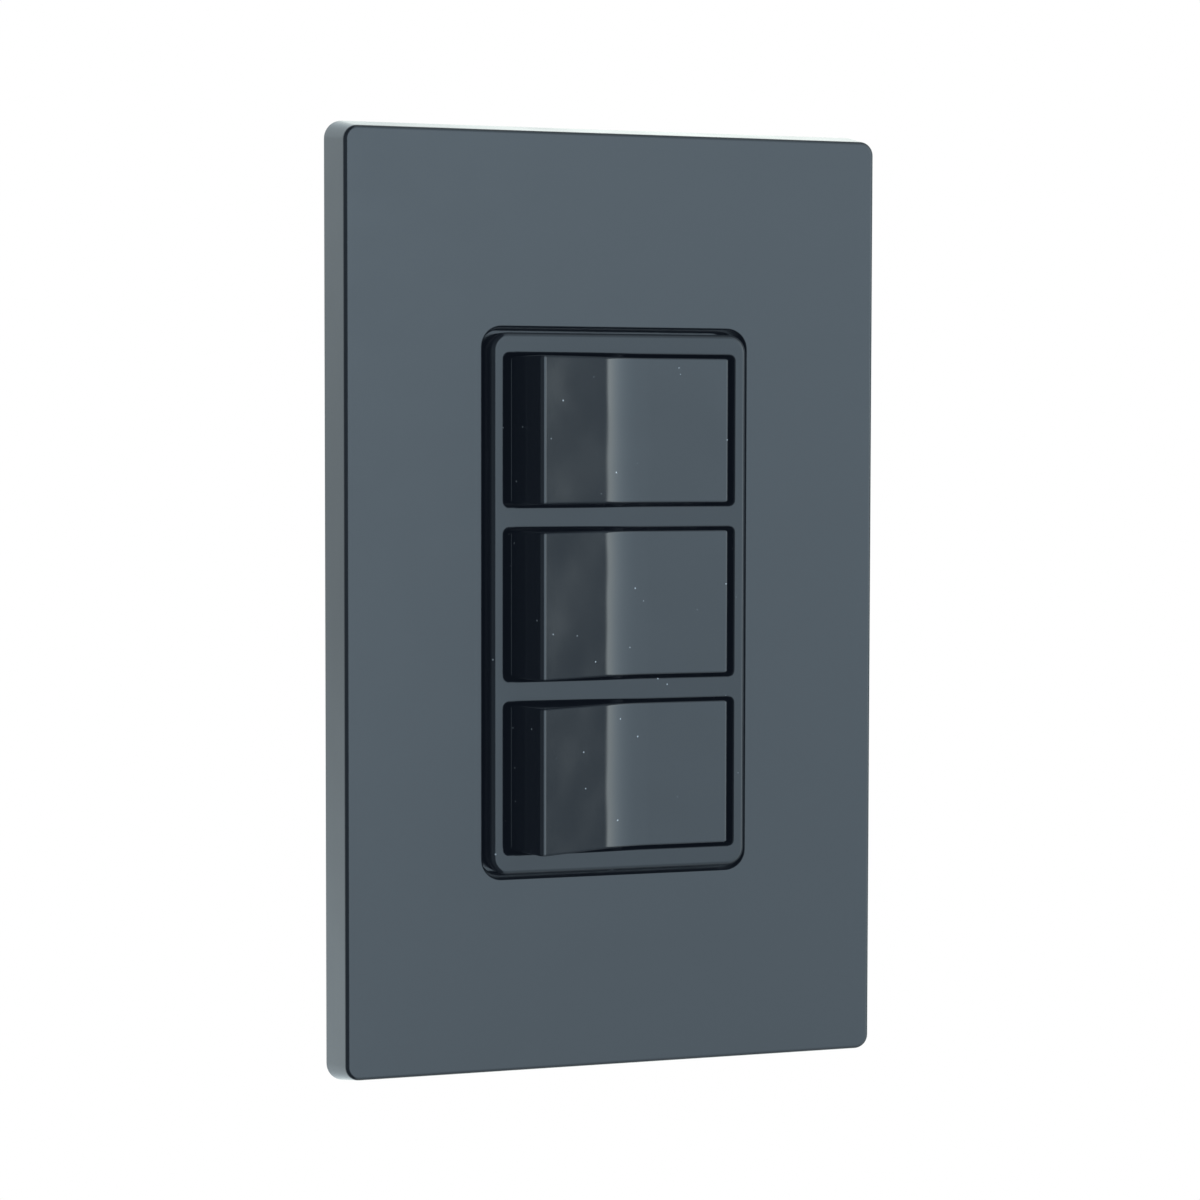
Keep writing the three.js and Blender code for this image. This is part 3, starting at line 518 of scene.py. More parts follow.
def plastic(name, roughness, grain, depth, wear, colour=BLACK, ior=1.5, wave=0.0, specks=0.0):
    """Moulded plastic: a faint mottle, fine grain, and edges rubbed a little brighter.
    The grain is given as cycles in a metre with its depth, and the wave is how far the broad
    surface swells and sinks, as moulded faces do.  Specks is how much of the dust shows."""
    material, graph, shade, place = new_surface(name)
    mottle = graph.noise(place, scale=90, detail=4)
    fine = graph.noise(place, grain, detail=3, rough=0.6)
    edges = graph.math("MULTIPLY", edge_mask(graph, 0.25), wear)
    base = graph.mix(mottle, rgb(colour, 0.82), rgb(colour, 1.18))
    rubbed = graph.mix(edges, base, rgb(colour, 2.2))
    dusty = graph.math("MULTIPLY", dust(graph, place), specks)
    shade("Base Color", graph.mix(dusty, rubbed, rgb(DUST)))
    spread = graph.ramp(mottle, 0.3, 0.7, roughness - 0.025, roughness + 0.025)
    shade("Roughness", graph.math("MULTIPLY_ADD", fine, 0.03, spread))
    broad = graph.noise(place, scale=95, detail=1, rough=0.4)
    swell = graph.bump(broad, strength=1.0, distance=wave * MM)
    shade("Normal", graph.bump(fine, 0.25, depth * MM, under=swell))
    shade("IOR", ior)
    return material


def metal(name, colour, roughness, tint, tint_amount):
    """Plated or bare metal: cloudy tint, stretched rolling marks and bright edges."""
    material, graph, shade, place = new_surface(name)
    stretched = graph.vector("MULTIPLY", place, (1.0, 1.0, 0.06))
    marks = graph.noise(stretched, scale=2100, detail=3, rough=0.6)
    cloud = graph.noise(place, scale=260, detail=3)
    cloudy = graph.ramp(cloud, 0.35, 0.7, 0.0, tint_amount)
    base = graph.mix(cloudy, rgb(colour), rgb(tint))
    edges = graph.math("MULTIPLY", edge_mask(graph, 0.12), 0.35)
    bright = tuple(min(1.0, channel * 1.25 + 0.03) for channel in colour)
    shade("Base Color", graph.mix(edges, base, rgb(bright)))
    shade("Roughness", graph.ramp(marks, 0.25, 0.75, roughness - 0.08, roughness + 0.1))
    shade("Normal", graph.bump(marks, strength=0.3, distance=0.004 * MM))
    shade("Metallic", 1.0)
    return material


def nylon(name):
    """Natural nylon: milky, with a little light passing under its skin."""
    material, graph, shade, place = new_surface(name)
    cloud = graph.noise(place, scale=500, detail=3)
    skin = graph.noise(place, scale=3000, detail=2)
    warm = (0.74, 0.71, 0.62)
    shade("Base Color", graph.mix(cloud, rgb(warm, 0.92), rgb(warm, 1.06)))
    shade("Roughness", graph.ramp(cloud, 0.3, 0.7, 0.38, 0.5))
    shade("Normal", graph.bump(skin, strength=0.15, distance=0.004 * MM))
    shade("Subsurface Weight", 0.15)
    shade("Subsurface Radius", (0.0008, 0.0007, 0.0005))
    return material


# each finish is a material and the record's material slot that it stands for
FINISHES = {
    "cover": (plastic("cover_plastic", 0.19, 2600, 0.0012, wear=0.2, wave=0.05), "black_satin_plastic"),
    "gloss": (
        plastic("rocker_plastic", 0.1, 1800, 0.0006, wear=0.15, ior=1.47, wave=0.14, specks=0.8),
        "black_gloss_plastic",
    ),
    "frame": (
        plastic("bezel_plastic", 0.13, 1800, 0.0006, wear=0.15, ior=1.44, wave=0.1, specks=0.6),
        "black_gloss_plastic",
    ),
    "unpolished": (plastic("unpolished_plastic", 0.8, 1800, 0.01, wear=0.1), "black_gloss_plastic"),
    "body": (
        plastic("body_plastic", 0.48, 3200, 0.012, wear=0.4, colour=(0.012, 0.0125, 0.013)),
        "black_body_plastic",
    ),
    "zinc": (metal("zinc_plated_steel", (0.47, 0.48, 0.48), 0.33, (0.36, 0.38, 0.41), 0.8), "zinc_steel"),
    "brass": (metal("brass_sheet", (0.72, 0.5, 0.2), 0.28, (0.55, 0.36, 0.13), 0.6), "brass"),
    "copper": (metal("copper_alloy_sheet", (0.7, 0.38, 0.23), 0.3, (0.5, 0.25, 0.15), 0.6), "copper_alloy"),
    "silver": (metal("silver_contact", (0.83, 0.83, 0.8), 0.22, (0.66, 0.65, 0.6), 0.5), "silver_alloy"),
    "dark": (
        metal("black_oxide_steel", (0.045, 0.045, 0.048), 0.36, (0.03, 0.033, 0.04), 0.8),
        "black_steel",
    ),
    "green": (metal("green_dyed_steel", (0.04, 0.26, 0.09), 0.34, (0.03, 0.17, 0.07), 0.7), "green_steel"),
    "nylon": (nylon("natural_nylon"), "pale_nylon"),
}


# ---- cover

def rim_rings(width, height, corner, face, rounding, outward, z=MID_Z):
    """Rings of a quarter-round between a wall and a face. Outward rounds the rim of a
    solid, otherwise the rim of an opening; the list runs from the wall to the face."""
    rings = []
    for inset, back in rounding:
        grow = -inset if outward else inset
        outline = rounded_rectangle(width + 2 * grow, height + 2 * grow, corner + grow, 0, z)
        rings.append(at_y(outline, face + back))
    return rings


def cover_shell():
    """One closed skin: window wall, front face, leaning sides, back rim and inside."""
    front_width = COVER_WIDTH - 2 * DRAFT
    front_height = COVER_HEIGHT - 2 * DRAFT
    front_corner = COVER_CORNER - DRAFT / 2
    inside = COVER_FRONT + COVER_FACE
    inner_width = COVER_WIDTH - 2 * COVER_RIM
    inner_height = COVER_HEIGHT - 2 * COVER_RIM
    window = rounded_rectangle(WINDOW_WIDTH, WINDOW_HEIGHT, WINDOW_CORNER)
    back = rounded_rectangle(COVER_WIDTH, COVER_HEIGHT, COVER_CORNER)
    rim = rounded_rectangle(inner_width, inner_height, COVER_RIM_CORNER)
    rings = [at_y(window, inside)]
    lip = quarter_round(WINDOW_EDGE)
    rings += rim_rings(WINDOW_WIDTH, WINDOW_HEIGHT, WINDOW_CORNER, COVER_FRONT, lip, False)
    rim_round = quarter_round(COVER_EDGE, FINE_STEPS)
    rings += rim_rings(front_width, front_height, front_corner, COVER_FRONT, rim_round, True)[::-1]
    rings += [at_y(back, 0), at_y(rim, 0), at_y(rim, inside)]
    bm = bmesh.new()
    loft(bm, rings, cyclic=True)
    for x, z in CORNERS:
        upright = around(MID_Z + z * HOOK_Z, HOOK_WIDTH / 2)
        block(bm, around(x * HOOK_X, HOOK_THICK / 2), (inside - ROOT, HOOK_TIP), upright)
        block(bm, around(x * HOOK_X, HOOK_FOOT_THICK / 2), around(inside, ROOT), upright)
    finished(bm, "cover_shell", "cover_plate", "cover", body="cover")


# ---- bezel

def opening_tool(z):
    """An opening whose front edge flares out in a small quarter-round."""
    flare = rim_rings(
        OPENING_WIDTH, OPENING_HEIGHT, OPENING_CORNER, BEZEL_FRONT,
        quarter_round(OPENING_EDGE), False, z,
    )

    def draw(bm):
        inside = [Vector((point.x, 0, point.z)) for point in flare[0]]
        outside = [Vector((point.x, BEZEL_FRONT - PAST, point.z)) for point in flare[-1]]
        loft(bm, [inside] + flare + [outside])
    return draw


def socket_tool(bay):
    """The U-shaped socket, open at the back, that takes both pins of one rocker."""
    pivot = ROCKER_PIVOT[bay]
    radius = PIN_RADIUS + PIN_PLAY
    half = OPENING_HEIGHT / 2 + PIN_REACH + PIN_END_PLAY

    def draw(bm):
        outline = arc((0, pivot.y), radius, 180, 360, 16) + [(radius, 0), (-radius, 0)]
        loft(bm, [at_z(outline, pivot.z - half), at_z(outline, pivot.z + half)])
    return draw


def bezel_frame():
    """The foot, the face with its three openings, and four legs that clip behind the strap."""
    bm = bmesh.new()
    outline = rounded_rectangle(BEZEL_WIDTH, BEZEL_HEIGHT, BEZEL_CORNER)
    foot = rounded_rectangle(FOOT_WIDTH, FOOT_HEIGHT, BEZEL_CORNER)
    shelf = STRAP_FRONT - FLANGE_THICK
    rings = [at_y(foot, STRAP_FRONT), at_y(foot, shelf), at_y(outline, shelf)]
    rounding = quarter_round(BEZEL_EDGE, FINE_STEPS)
    rings += rim_rings(BEZEL_WIDTH, BEZEL_HEIGHT, BEZEL_CORNER, BEZEL_FRONT, rounding, True)
    loft(bm, rings)
    tools = [opening_tool(ROCKER_PIVOT[bay].z) for bay in BAYS]
    tools += [socket_tool(bay) for bay in BAYS]
    bm = carved(bm, tools)
    inner = OPENING_HEIGHT / 2 + PITCH
    outer = BEZEL_HEIGHT / 2 - LEG_INSET
    leg_span = (STRAP_FRONT - DEEP_ROOT, BEZEL_HIGH.y)
    for x, z in CORNERS:
        across = around(x * LEG_X, LEG_WIDTH / 2)
        block(bm, across, leg_span, on_side(z, inner, outer, MID_Z))
        block(bm, across, BARB_SPAN, on_side(z, inner, outer + BARB_REACH, MID_Z))
    finished(bm, "bezel_frame", "switch_bezel", "frame")


# ---- rocker

def rocker_outline(inset, back):
    """The rocker's section in X and Y about its pivot: two flats and a rounded valley."""
    half = ROCKER_HALF_WIDTH - inset
    valley = -VALLEY_DEPTH + inset / math.cos(SWING)
    radius = VALLEY_RADIUS + inset
    centre = valley - radius / math.cos(SWING)
    tip = valley - (half - TIP_ROUNDING) * math.tan(SWING) + TIP_ROUNDING / math.cos(SWING)
    degrees = math.degrees(SWING)
    left = arc((-half + TIP_ROUNDING, tip), TIP_ROUNDING, 180, 270 + degrees, 8)
    floor = arc((0, centre), radius, 90 + degrees, 90 - degrees, 12)
    right = [(-x, y) for x, y in left[::-1]]
    return [(half, back), (-half, back)] + left + floor + right


def rocker_shell():
    """The hollow button: its section along Z, with rounded ends."""
    bm = bmesh.new()
    half = ROCKER_HEIGHT / 2
    sections = []
    for end in SIDES:
        levels = []
        for drop, inset in quarter_round(ROCKER_EDGE):
            levels.append(at_z(rocker_outline(inset, ROCKER_SKIRT), end * (half - drop)))
        sections += levels if end < 0 else levels[::-1]
    loft(bm, sections)
    inner_half = half - ROCKER_WALL

    def hollow(tool):
        outline = rocker_outline(ROCKER_WALL, ROCKER_SKIRT + PAST)
        loft(tool, [at_z(outline, -inner_half), at_z(outline, inner_half)])

    return carved(bm, [hollow])


def rocker_boss():
    """The round post at the back that holds the spring and plunger."""
    bm = bmesh.new()
    bar(bm, BOSS_RADIUS, (0, -VALLEY_DEPTH + DEEP_ROOT, 0), (0, BOSS_BACK, 0), BOSS_STEPS)

    def bore(tool):
        bar(tool, BORE_RADIUS, (0, BORE_FRONT, 0), (0, BOSS_BACK + PAST, 0), BOSS_STEPS)

    return carved(bm, [bore])


def parting_bead(bm, side):
    """The hairline bead that the mould leaves down each end of a rocker."""
    half = ROCKER_HEIGHT / 2 - ROCKER_EDGE
    outline = circle(PARTING_RADIUS, side * ROCKER_HALF_WIDTH, PARTING_DEPTH, 12)
    loft(bm, [at_z(outline, -half), at_z(outline, half)])


def rocker_place(bay):
    """From a rocker's own axes to the frame, with its left end out."""
    return Matrix.Translation(ROCKER_PIVOT[bay]) @ Matrix.Rotation(SWING, 4, "Z")


def rockers():
    """Three rockers from one shell and one boss; only the round pins are left unpolished."""
    moulded = []
    for part in (rocker_shell(), rocker_boss()):
        moulded.append(bpy.data.meshes.new("moulded"))
        part.to_mesh(moulded[-1])
    pin_start = ROCKER_HEIGHT / 2 - DEEP_ROOT
    pin_end = OPENING_HEIGHT / 2 + PIN_REACH
    for bay in BAYS:
        bm = bmesh.new()
        for mesh in moulded:
            bm.from_mesh(mesh)
        for x in SIDES:
            parting_bead(bm, x)
        polished = len(bm.faces)
        for z in SIDES:
            bar(bm, PIN_RADIUS, (0, 0, z * pin_start), (0, 0, z * pin_end))
        bm.faces.ensure_lookup_table()
        for face in bm.faces[polished:]:
            face.material_index = 1
        finished(
            bm, f"rocker_button_{bay}", f"rocker_{bay}", "gloss", f"rocker_{bay}_body",
            place=rocker_place(bay), second="unpolished",
        )


# ---- plunger and spring

WIRE_RADIUS = 0.22
COIL_RADIUS = 1.55
COIL_TURNS = 4.5
END_COIL_SQUEEZE = 0.07
PEG_RADIUS = 1
PLUNGER_RADIUS = 2
PLUNGER_EDGE = 0.15
SHOULDER = 3.5
NOSE_RADIUS = 1.4
NOSE_LEAD = 1.2


def local_reach(node, bay):
    """Where a node begins and ends along its rocker's own depth axis."""
    inverse = rocker_place(bay).inverted()
    depths = [(inverse @ (v.co / MM)).y for v in frame["nodes"][node].data.vertices]
    return min(depths), max(depths)


def plunger(bay):
    """A peg inside the spring, a wider body and a round nose that runs along the lever."""
    peg_front, tip = local_reach(f"plunger_{bay}", bay)
    centre = tip - NOSE_RADIUS
    profile = [
        (PEG_RADIUS - PLUNGER_EDGE, peg_front),
        (PEG_RADIUS, peg_front + PLUNGER_EDGE),
        (PEG_RADIUS, SHOULDER),
        (PLUNGER_RADIUS - PLUNGER_EDGE, SHOULDER),
        (PLUNGER_RADIUS, SHOULDER + PLUNGER_EDGE),
        (PLUNGER_RADIUS, centre - NOSE_LEAD),
    ]
    profile += arc((0, centre), NOSE_RADIUS, 0, 84, 8)
    bm = bmesh.new()
    turned(bm, profile, rocker_place(bay))
    finished(bm, f"plunger_pin_{bay}", f"plunger_{bay}", "nylon", f"plunger_{bay}_body")


def spring(bay):
    """A wound spring with flattened end coils, as long as its CAD node."""
    node = f"plunger_spring_{bay}"
    front, back = local_reach(node, bay)
    low = front + WIRE_RADIUS
    high = back - WIRE_RADIUS
    steps = 150
    section = circle(WIRE_RADIUS, steps=10)
    along = Vector((0, 1, 0))
    rings = []
    for i in range(steps + 1):
        t = i / steps
        angle = 2 * math.pi * COIL_TURNS * t
        depth = low + (high - low) * (t - END_COIL_SQUEEZE * math.sin(2 * math.pi * t))
        centre = Vector((COIL_RADIUS * math.cos(angle), depth, COIL_RADIUS * math.sin(angle)))
        outward = Vector((math.cos(angle), 0, math.sin(angle)))
        rings.append([centre + outward * a + along * b for a, b in section])
    bm = bmesh.new()
    loft(bm, rings)
    place = rocker_place(bay)
    piece = finished(bm, f"coil_spring_{bay}", node, "zinc", f"rocker_{bay}_body", place=place)
    piece.modifiers.clear()
    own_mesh(piece)


# ---- strap and sub-plate

STRAP_WINDOW_WIDTH = 30
STRAP_WINDOW_HEIGHT = 62.6
STRAP_WINDOW_CORNER = 0.6
STRAP_CORNER = 2
STRAP_EDGE = 0.15
EAR_HOLE_RADIUS = 1.7
EAR_SLOT_WIDTH = 7
EAR_SLOT_HEIGHT = 4
EAR_SLOT_CORNER = 1.99
PLATE_HOLE_RADIUS = 1.85
TAB_BACK = 10
TAB_PAST_SCREW = 4
TAB_INSET = 0.5
TAB_BEND = 0.4

SUB_THICK = 1.5
SUB_RIB = 1.2
SUB_CORNER = 1.5
SUB_EDGE = 0.2
SUB_RIB_EDGE = 0.15
SUB_RIB_ROOT = 0.4
SUB_WINDOW_LIP = 0.3
SUB_BOSS_RADIUS = 3.1
SUB_BOSS_EDGE = 0.1
SCREW_ACCESS_RADIUS = 3.7
HOOK_SLOT_WIDTH = 1.6
HOOK_SLOT_PLAY = 0.6
HOOK_SLOT_CORNER = 0.3


def strap_outline():
    """Body, neck and the two round lobes of each ear, mirrored from the upper right quarter."""
    join = math.degrees(math.acos((STRAP_NECK_HALF_WIDTH - EAR_LOBE.x) / EAR_LOBE_RADIUS))
    corner_centre = (STRAP_HALF_WIDTH - STRAP_CORNER, STRAP_BODY_HALF_HEIGHT - STRAP_CORNER)
    corner = arc(corner_centre, STRAP_CORNER, 0, 90, 6)
    lobe = arc(EAR_LOBE, EAR_LOBE_RADIUS, -join, 90, 24)
    quarter = corner + [(STRAP_NECK_HALF_WIDTH, STRAP_BODY_HALF_HEIGHT)] + lobe
    right = [(x, -z) for x, z in quarter[::-1]] + quarter
    left = [(-x, z) for x, z in right[::-1]]
    return [(x, z + MID_Z) for x, z in right + left]


def ground_tab(bm):
    """The tab bent back from the strap's left edge, where the ground wire goes."""
    top = middle_mm("ground_screw").z + TAB_PAST_SCREW
    bottom = MID_Z - STRAP_BODY_HALF_HEIGHT + TAB_INSET
    thick = -STRAP_FRONT
    radius = thick + TAB_BEND
    bend = (-STRAP_HALF_WIDTH + radius, STRAP_FRONT + radius)
    outer = arc(bend, radius, 270, 180, 6)
    inner = arc(bend, TAB_BEND, 180, 270, 6)
    end = [(-STRAP_HALF_WIDTH, TAB_BACK), (-STRAP_HALF_WIDTH + thick, TAB_BACK)]
    section = outer + end + inner
    loft(bm, [at_z(section, bottom), at_z(section, top)])


def strap():
    """The steel yoke with its window, its ears and the ground tab."""
    holes = [rounded_rectangle(STRAP_WINDOW_WIDTH, STRAP_WINDOW_HEIGHT, STRAP_WINDOW_CORNER)]
    for end in SIDES:
        for x in SIDES:
            holes.append(circle(EAR_HOLE_RADIUS, x * EAR_LOBE.x, MID_Z + end * EAR_LOBE.y))
        slot_z = MID_Z + end * DEVICE_SCREW_Z
        holes.append(rounded_rectangle(EAR_SLOT_WIDTH, EAR_SLOT_HEIGHT, EAR_SLOT_CORNER, 0, slot_z))
        holes.append(circle(PLATE_HOLE_RADIUS, 0, MID_Z + end * PLATE_SCREW_Z))
    bm = bmesh.new()
    sheet(bm, [strap_outline()] + holes, STRAP_FRONT, 0, STRAP_EDGE)
    ground_tab(bm)
    finished(bm, "steel_strap", "mounting_strap", "zinc")


def sub_plate():
    """The plate that the cover snaps to: a rib round its back and two screw bosses."""
    width = SUB_HIGH.x - SUB_LOW.x
    height = SUB_HIGH.z - SUB_LOW.z
    back = SUB_LOW.y + SUB_THICK
    outline = rounded_rectangle(width, height, SUB_CORNER)
    inside = rounded_rectangle(width - 2 * SUB_RIB, height - 2 * SUB_RIB, SUB_CORNER / 2)
    window_width = WINDOW_WIDTH - 2 * SUB_WINDOW_LIP
    window_height = WINDOW_HEIGHT - 2 * SUB_WINDOW_LIP
    holes = [rounded_rectangle(window_width, window_height, WINDOW_CORNER)]
    for end in SIDES:
        holes.append(circle(SCREW_ACCESS_RADIUS, 0, MID_Z + end * DEVICE_SCREW_Z, steps=40))
        for x in SIDES:
            holes.append(rounded_rectangle(
                HOOK_SLOT_WIDTH, HOOK_WIDTH + HOOK_SLOT_PLAY, HOOK_SLOT_CORNER,
                x * HOOK_X, MID_Z + end * HOOK_Z, steps=3,
            ))
    bm = bmesh.new()
    sheet(bm, [outline] + holes, SUB_LOW.y, back, SUB_EDGE)
    sheet(bm, [outline, inside], back - SUB_RIB_ROOT, 0, SUB_RIB_EDGE)
    boss = [
        (SUB_BOSS_RADIUS, back - ROOT),
        (SUB_BOSS_RADIUS, STRAP_FRONT - SUB_BOSS_EDGE),
        (SUB_BOSS_RADIUS - SUB_BOSS_EDGE, STRAP_FRONT),
    ]
    for end in SIDES:
        turned(bm, boss, Matrix.Translation((0, 0, MID_Z + end * PLATE_SCREW_Z)))
    finished(bm, "snap_sub_plate", "sub_plate", "body")


# ---- screws

HEAD_EDGE = 0.15
THREAD_DEPTH = 0.45
THREAD_ROOT = 0.2
DEVICE_HEAD_RADIUS = 3.4
DEVICE_HEAD_RISE = 1.1
DEVICE_SLOT_DEPTH = 1
PLATE_HEAD_RADIUS = 3.3
PLATE_HEAD_EDGE = 0.1
PLATE_FACE_RADIUS = 3.1
PLATE_CONE_DEPTH = 1.4
PLATE_NECK_DEPTH = 1.8
PLATE_SLOT_DEPTH = 0.7
SIDE_HEAD_RADIUS = 4
SIDE_HEAD_HEIGHT = 2.1
SIDE_HEAD_RISE = 0.7
SIDE_SLOT_DEPTH = 1.1
SIDE_SCREW_RADIUS = 1.7
SIDE_THREAD_DEPTH = 0.4
RIVET_RADIUS = 1.95
RIVET_SHANK_RADIUS = 1.3
RIVET_RISE = 0.8
RIVET_DOME = (0.25, 0.6, 0.95, 1.25, 1.5)
# the crossed slot is a little shallower and reaches this share of the way out
CROSS_SHALLOWER = 0.2
CROSS_REACH = 0.5


def screw_head(profile, place, slot_floor, cross):
    """A turned head with a straight driver slot, or two crossed ones."""
    reach = max(radius for radius, _ in profile) + PAST
    front = profile[0][1] - PAST
    bm = bmesh.new()
    turned(bm, profile, steps=48)
    half = SLOT_WIDTH / 2
    tools = [lambda tool: block(tool, (-reach, reach), (front, slot_floor), (-half, half))]
    if cross:
        arm = reach * CROSS_REACH
        floor = slot_floor + CROSS_SHALLOWER
        tools.append(lambda tool: block(tool, (-half, half), (front, floor), (-arm, arm)))
    bm = carved(bm, tools)
    bmesh.ops.transform(bm, matrix=place, verts=bm.verts)
    return bm


def domed(radius, face, seat, rise):
    """Head profile: a shallow dome, with a tiny flat at its crown, over a short upright rim."""
    steps = 8
    crown = 0.2
    points = []
    for i in range(steps + 1):
        angle = math.pi / 2 * (i + crown) / (steps + crown)
        points.append((radius * math.sin(angle), face + rise * (1 - math.cos(angle))))
    return points + [(radius, seat - HEAD_EDGE), (radius - HEAD_EDGE, seat)]


def device_screws():
    """The two screws that hold the strap to the wall box."""
    for end, side in ENDS.items():
        node = f"device_screw_{end}"
        low, high = box_mm(node)
        place = Matrix.Translation((0, 0, MID_Z + side * DEVICE_SCREW_Z))
        profile = domed(DEVICE_HEAD_RADIUS, low.y, STRAP_FRONT, DEVICE_HEAD_RISE)
        bm = screw_head(profile, place, low.y + DEVICE_SLOT_DEPTH, True)
        start = STRAP_FRONT - THREAD_ROOT
        thread(bm, start, high.y, SCREW_RADIUS - THREAD_DEPTH, THREAD_DEPTH, place)
        finished(bm, f"box_screw_{end}", node, "zinc")


def plate_screws():
    """The two countersunk screws that hold the sub-plate to the strap."""
    for end, side in ENDS.items():
        node = f"sub_plate_screw_{end}"
        low, high = box_mm(node)
        place = Matrix.Translation((0, 0, MID_Z + side * PLATE_SCREW_Z))
        profile = [
            (PLATE_FACE_RADIUS, low.y),
            (PLATE_HEAD_RADIUS, low.y + PLATE_HEAD_EDGE),
            (SCREW_RADIUS, low.y + PLATE_CONE_DEPTH),
            (SCREW_RADIUS, low.y + PLATE_NECK_DEPTH),
        ]
        bm = screw_head(profile, place, low.y + PLATE_SLOT_DEPTH, False)
        start = low.y + PLATE_NECK_DEPTH - THREAD_ROOT
        thread(bm, start, high.y, SCREW_RADIUS - THREAD_DEPTH, THREAD_DEPTH, place)
        finished(bm, f"plate_screw_{end}", node, "dark")


def side_screw(node, name, finish, side):
    """A terminal screw that points at the middle of the switch from one side."""
    low, high = box_mm(node)
    centre = (low + high) / 2
    face = low.x if side < 0 else high.x
    turn = math.radians(-90 if side < 0 else 90)
    place = Matrix.Translation((face, centre.y, centre.z)) @ Matrix.Rotation(turn, 4, "Z")
    length = high.x - low.x
    profile = domed(SIDE_HEAD_RADIUS, 0, SIDE_HEAD_HEIGHT, SIDE_HEAD_RISE)
    bm = screw_head(profile, place, SIDE_SLOT_DEPTH, True)
    thread(bm, SIDE_HEAD_HEIGHT - THREAD_ROOT, length, SIDE_SCREW_RADIUS, SIDE_THREAD_DEPTH, place)
    finished(bm, name, node, finish)


def rivet(node):
    """A rivet with a domed head at each end."""
    low, high = box_mm(node)
    centre = (low + high) / 2
    place = Matrix.Translation((centre.x, 0, centre.z))
    front = [
        (RIVET_RADIUS * math.sin(angle), low.y + RIVET_RISE * (1 - math.cos(angle)))
        for angle in RIVET_DOME
    ]
    back = [(radius, low.y + high.y - y) for radius, y in front[::-1]]
    seat_front = low.y + RIVET_RISE
    seat_back = high.y - RIVET_RISE
    shank = [
        (RIVET_RADIUS, seat_front),
        (RIVET_SHANK_RADIUS, seat_front),
        (RIVET_SHANK_RADIUS, seat_back),
        (RIVET_RADIUS, seat_back),
    ]
    bm = bmesh.new()
    turned(bm, front + shank + back, place)
    finished(bm, node.replace("rivet", "frame_rivet"), node, "zinc")


# ---- housing

TUB_HALF_WIDTH = 16.6
TUB_HALF_HEIGHT = 33.5
TUB_WALL = 1.6
TUB_DEPTH = HOUSING_HIGH.y
TUB_BACK_THICK = 2
TUB_FLOOR = TUB_DEPTH - TUB_BACK_THICK
TUB_CORNER = 1.5
TUB_ROUNDING = 0.8
TUB_SEAT = 0.1
WALL_HALF = 0.7
WALL_FRONT = 0.3
BUS_HALF_SLOT = 0.6
BUS_KEY_PAST = 0.2
BUS_BACK = 19.6
BARRIER_Z = 27.7
DECK_SPAN = (2.2, 3.2)
DECK_ROOT = 0.2
DECK_HALF_HEIGHT = 29.9
DECK_WINDOW = Vector((9.8, 5))
EAR_DEPTH = 3.5
EAR_HALF_WIDTH = 2.7
EAR_PAST_RIVET = 2.3
PANEL_WIDTH = 24
PANEL_HEIGHT = 19
PANEL_DEPTH = 0.35
PANEL_CORNER = 1
MARK_RADIUS = 2
MARK_DEPTH = 0.2
MARK_X = 14
FIN_FRONT = 0.2
FIN_SHORT = 1
RIVETS = [f"rivet_{end}_{side}" for end in ENDS for side in ("left", "right")]


def panel_recess(z):
    """A shallow blank field in the back of the housing, one behind each rocker."""
    outline = rounded_rectangle(PANEL_WIDTH, PANEL_HEIGHT, PANEL_CORNER, 0, z)

    def draw(bm):
        loft(bm, [at_y(outline, TUB_DEPTH - PANEL_DEPTH), at_y(outline, TUB_DEPTH + PAST)])
    return draw


def ejector_mark(x, z):
    """The round print of a pin that pushed the housing out of its mould."""
    def draw(bm):
        bar(bm, MARK_RADIUS, (x, TUB_DEPTH - MARK_DEPTH, z), (x, TUB_DEPTH + PAST, z))
    return draw


def tub():
    """The box itself, with a rounded back and moulded marks."""
    inner_width = 2 * (TUB_HALF_WIDTH - TUB_WALL)
    inner_height = 2 * (TUB_HALF_HEIGHT - TUB_WALL)
    inner = rounded_rectangle(inner_width, inner_height, TUB_CORNER / 2)
    outer = rounded_rectangle(2 * TUB_HALF_WIDTH, 2 * TUB_HALF_HEIGHT, TUB_CORNER)
    rings = [at_y(inner, TUB_FLOOR), at_y(inner, TUB_SEAT), at_y(outer, TUB_SEAT)]
    for inset, back in quarter_round(TUB_ROUNDING):
        width = 2 * (TUB_HALF_WIDTH - inset)
        height = 2 * (TUB_HALF_HEIGHT - inset)
        rings.append(at_y(rounded_rectangle(width, height, TUB_CORNER - inset), TUB_DEPTH - back))
    bm = bmesh.new()
    loft(bm, rings)
    tools = [panel_recess(ROCKER_PIVOT[bay].z) for bay in BAYS]
    tools += [ejector_mark(x * MARK_X, MID_Z + z * PITCH / 2) for x, z in CORNERS]
    return carved(bm, tools)


def partitions(bm):
    """Walls between the bays, split in the middle for the common terminal."""
    inside = TUB_HALF_WIDTH - TUB_WALL
    for end in SIDES:
        level = around(MID_Z + end * PITCH / 2, WALL_HALF)
        for x in SIDES:
            across = on_side(x, BUS_HALF_SLOT, inside + ROOT)
            block(bm, across, (STRAP_FRONT + WALL_FRONT, TUB_FLOOR + ROOT), level)
        block(bm, around(0, BUS_HALF_SLOT + BUS_KEY_PAST), (BUS_BACK, TUB_FLOOR + ROOT), level)


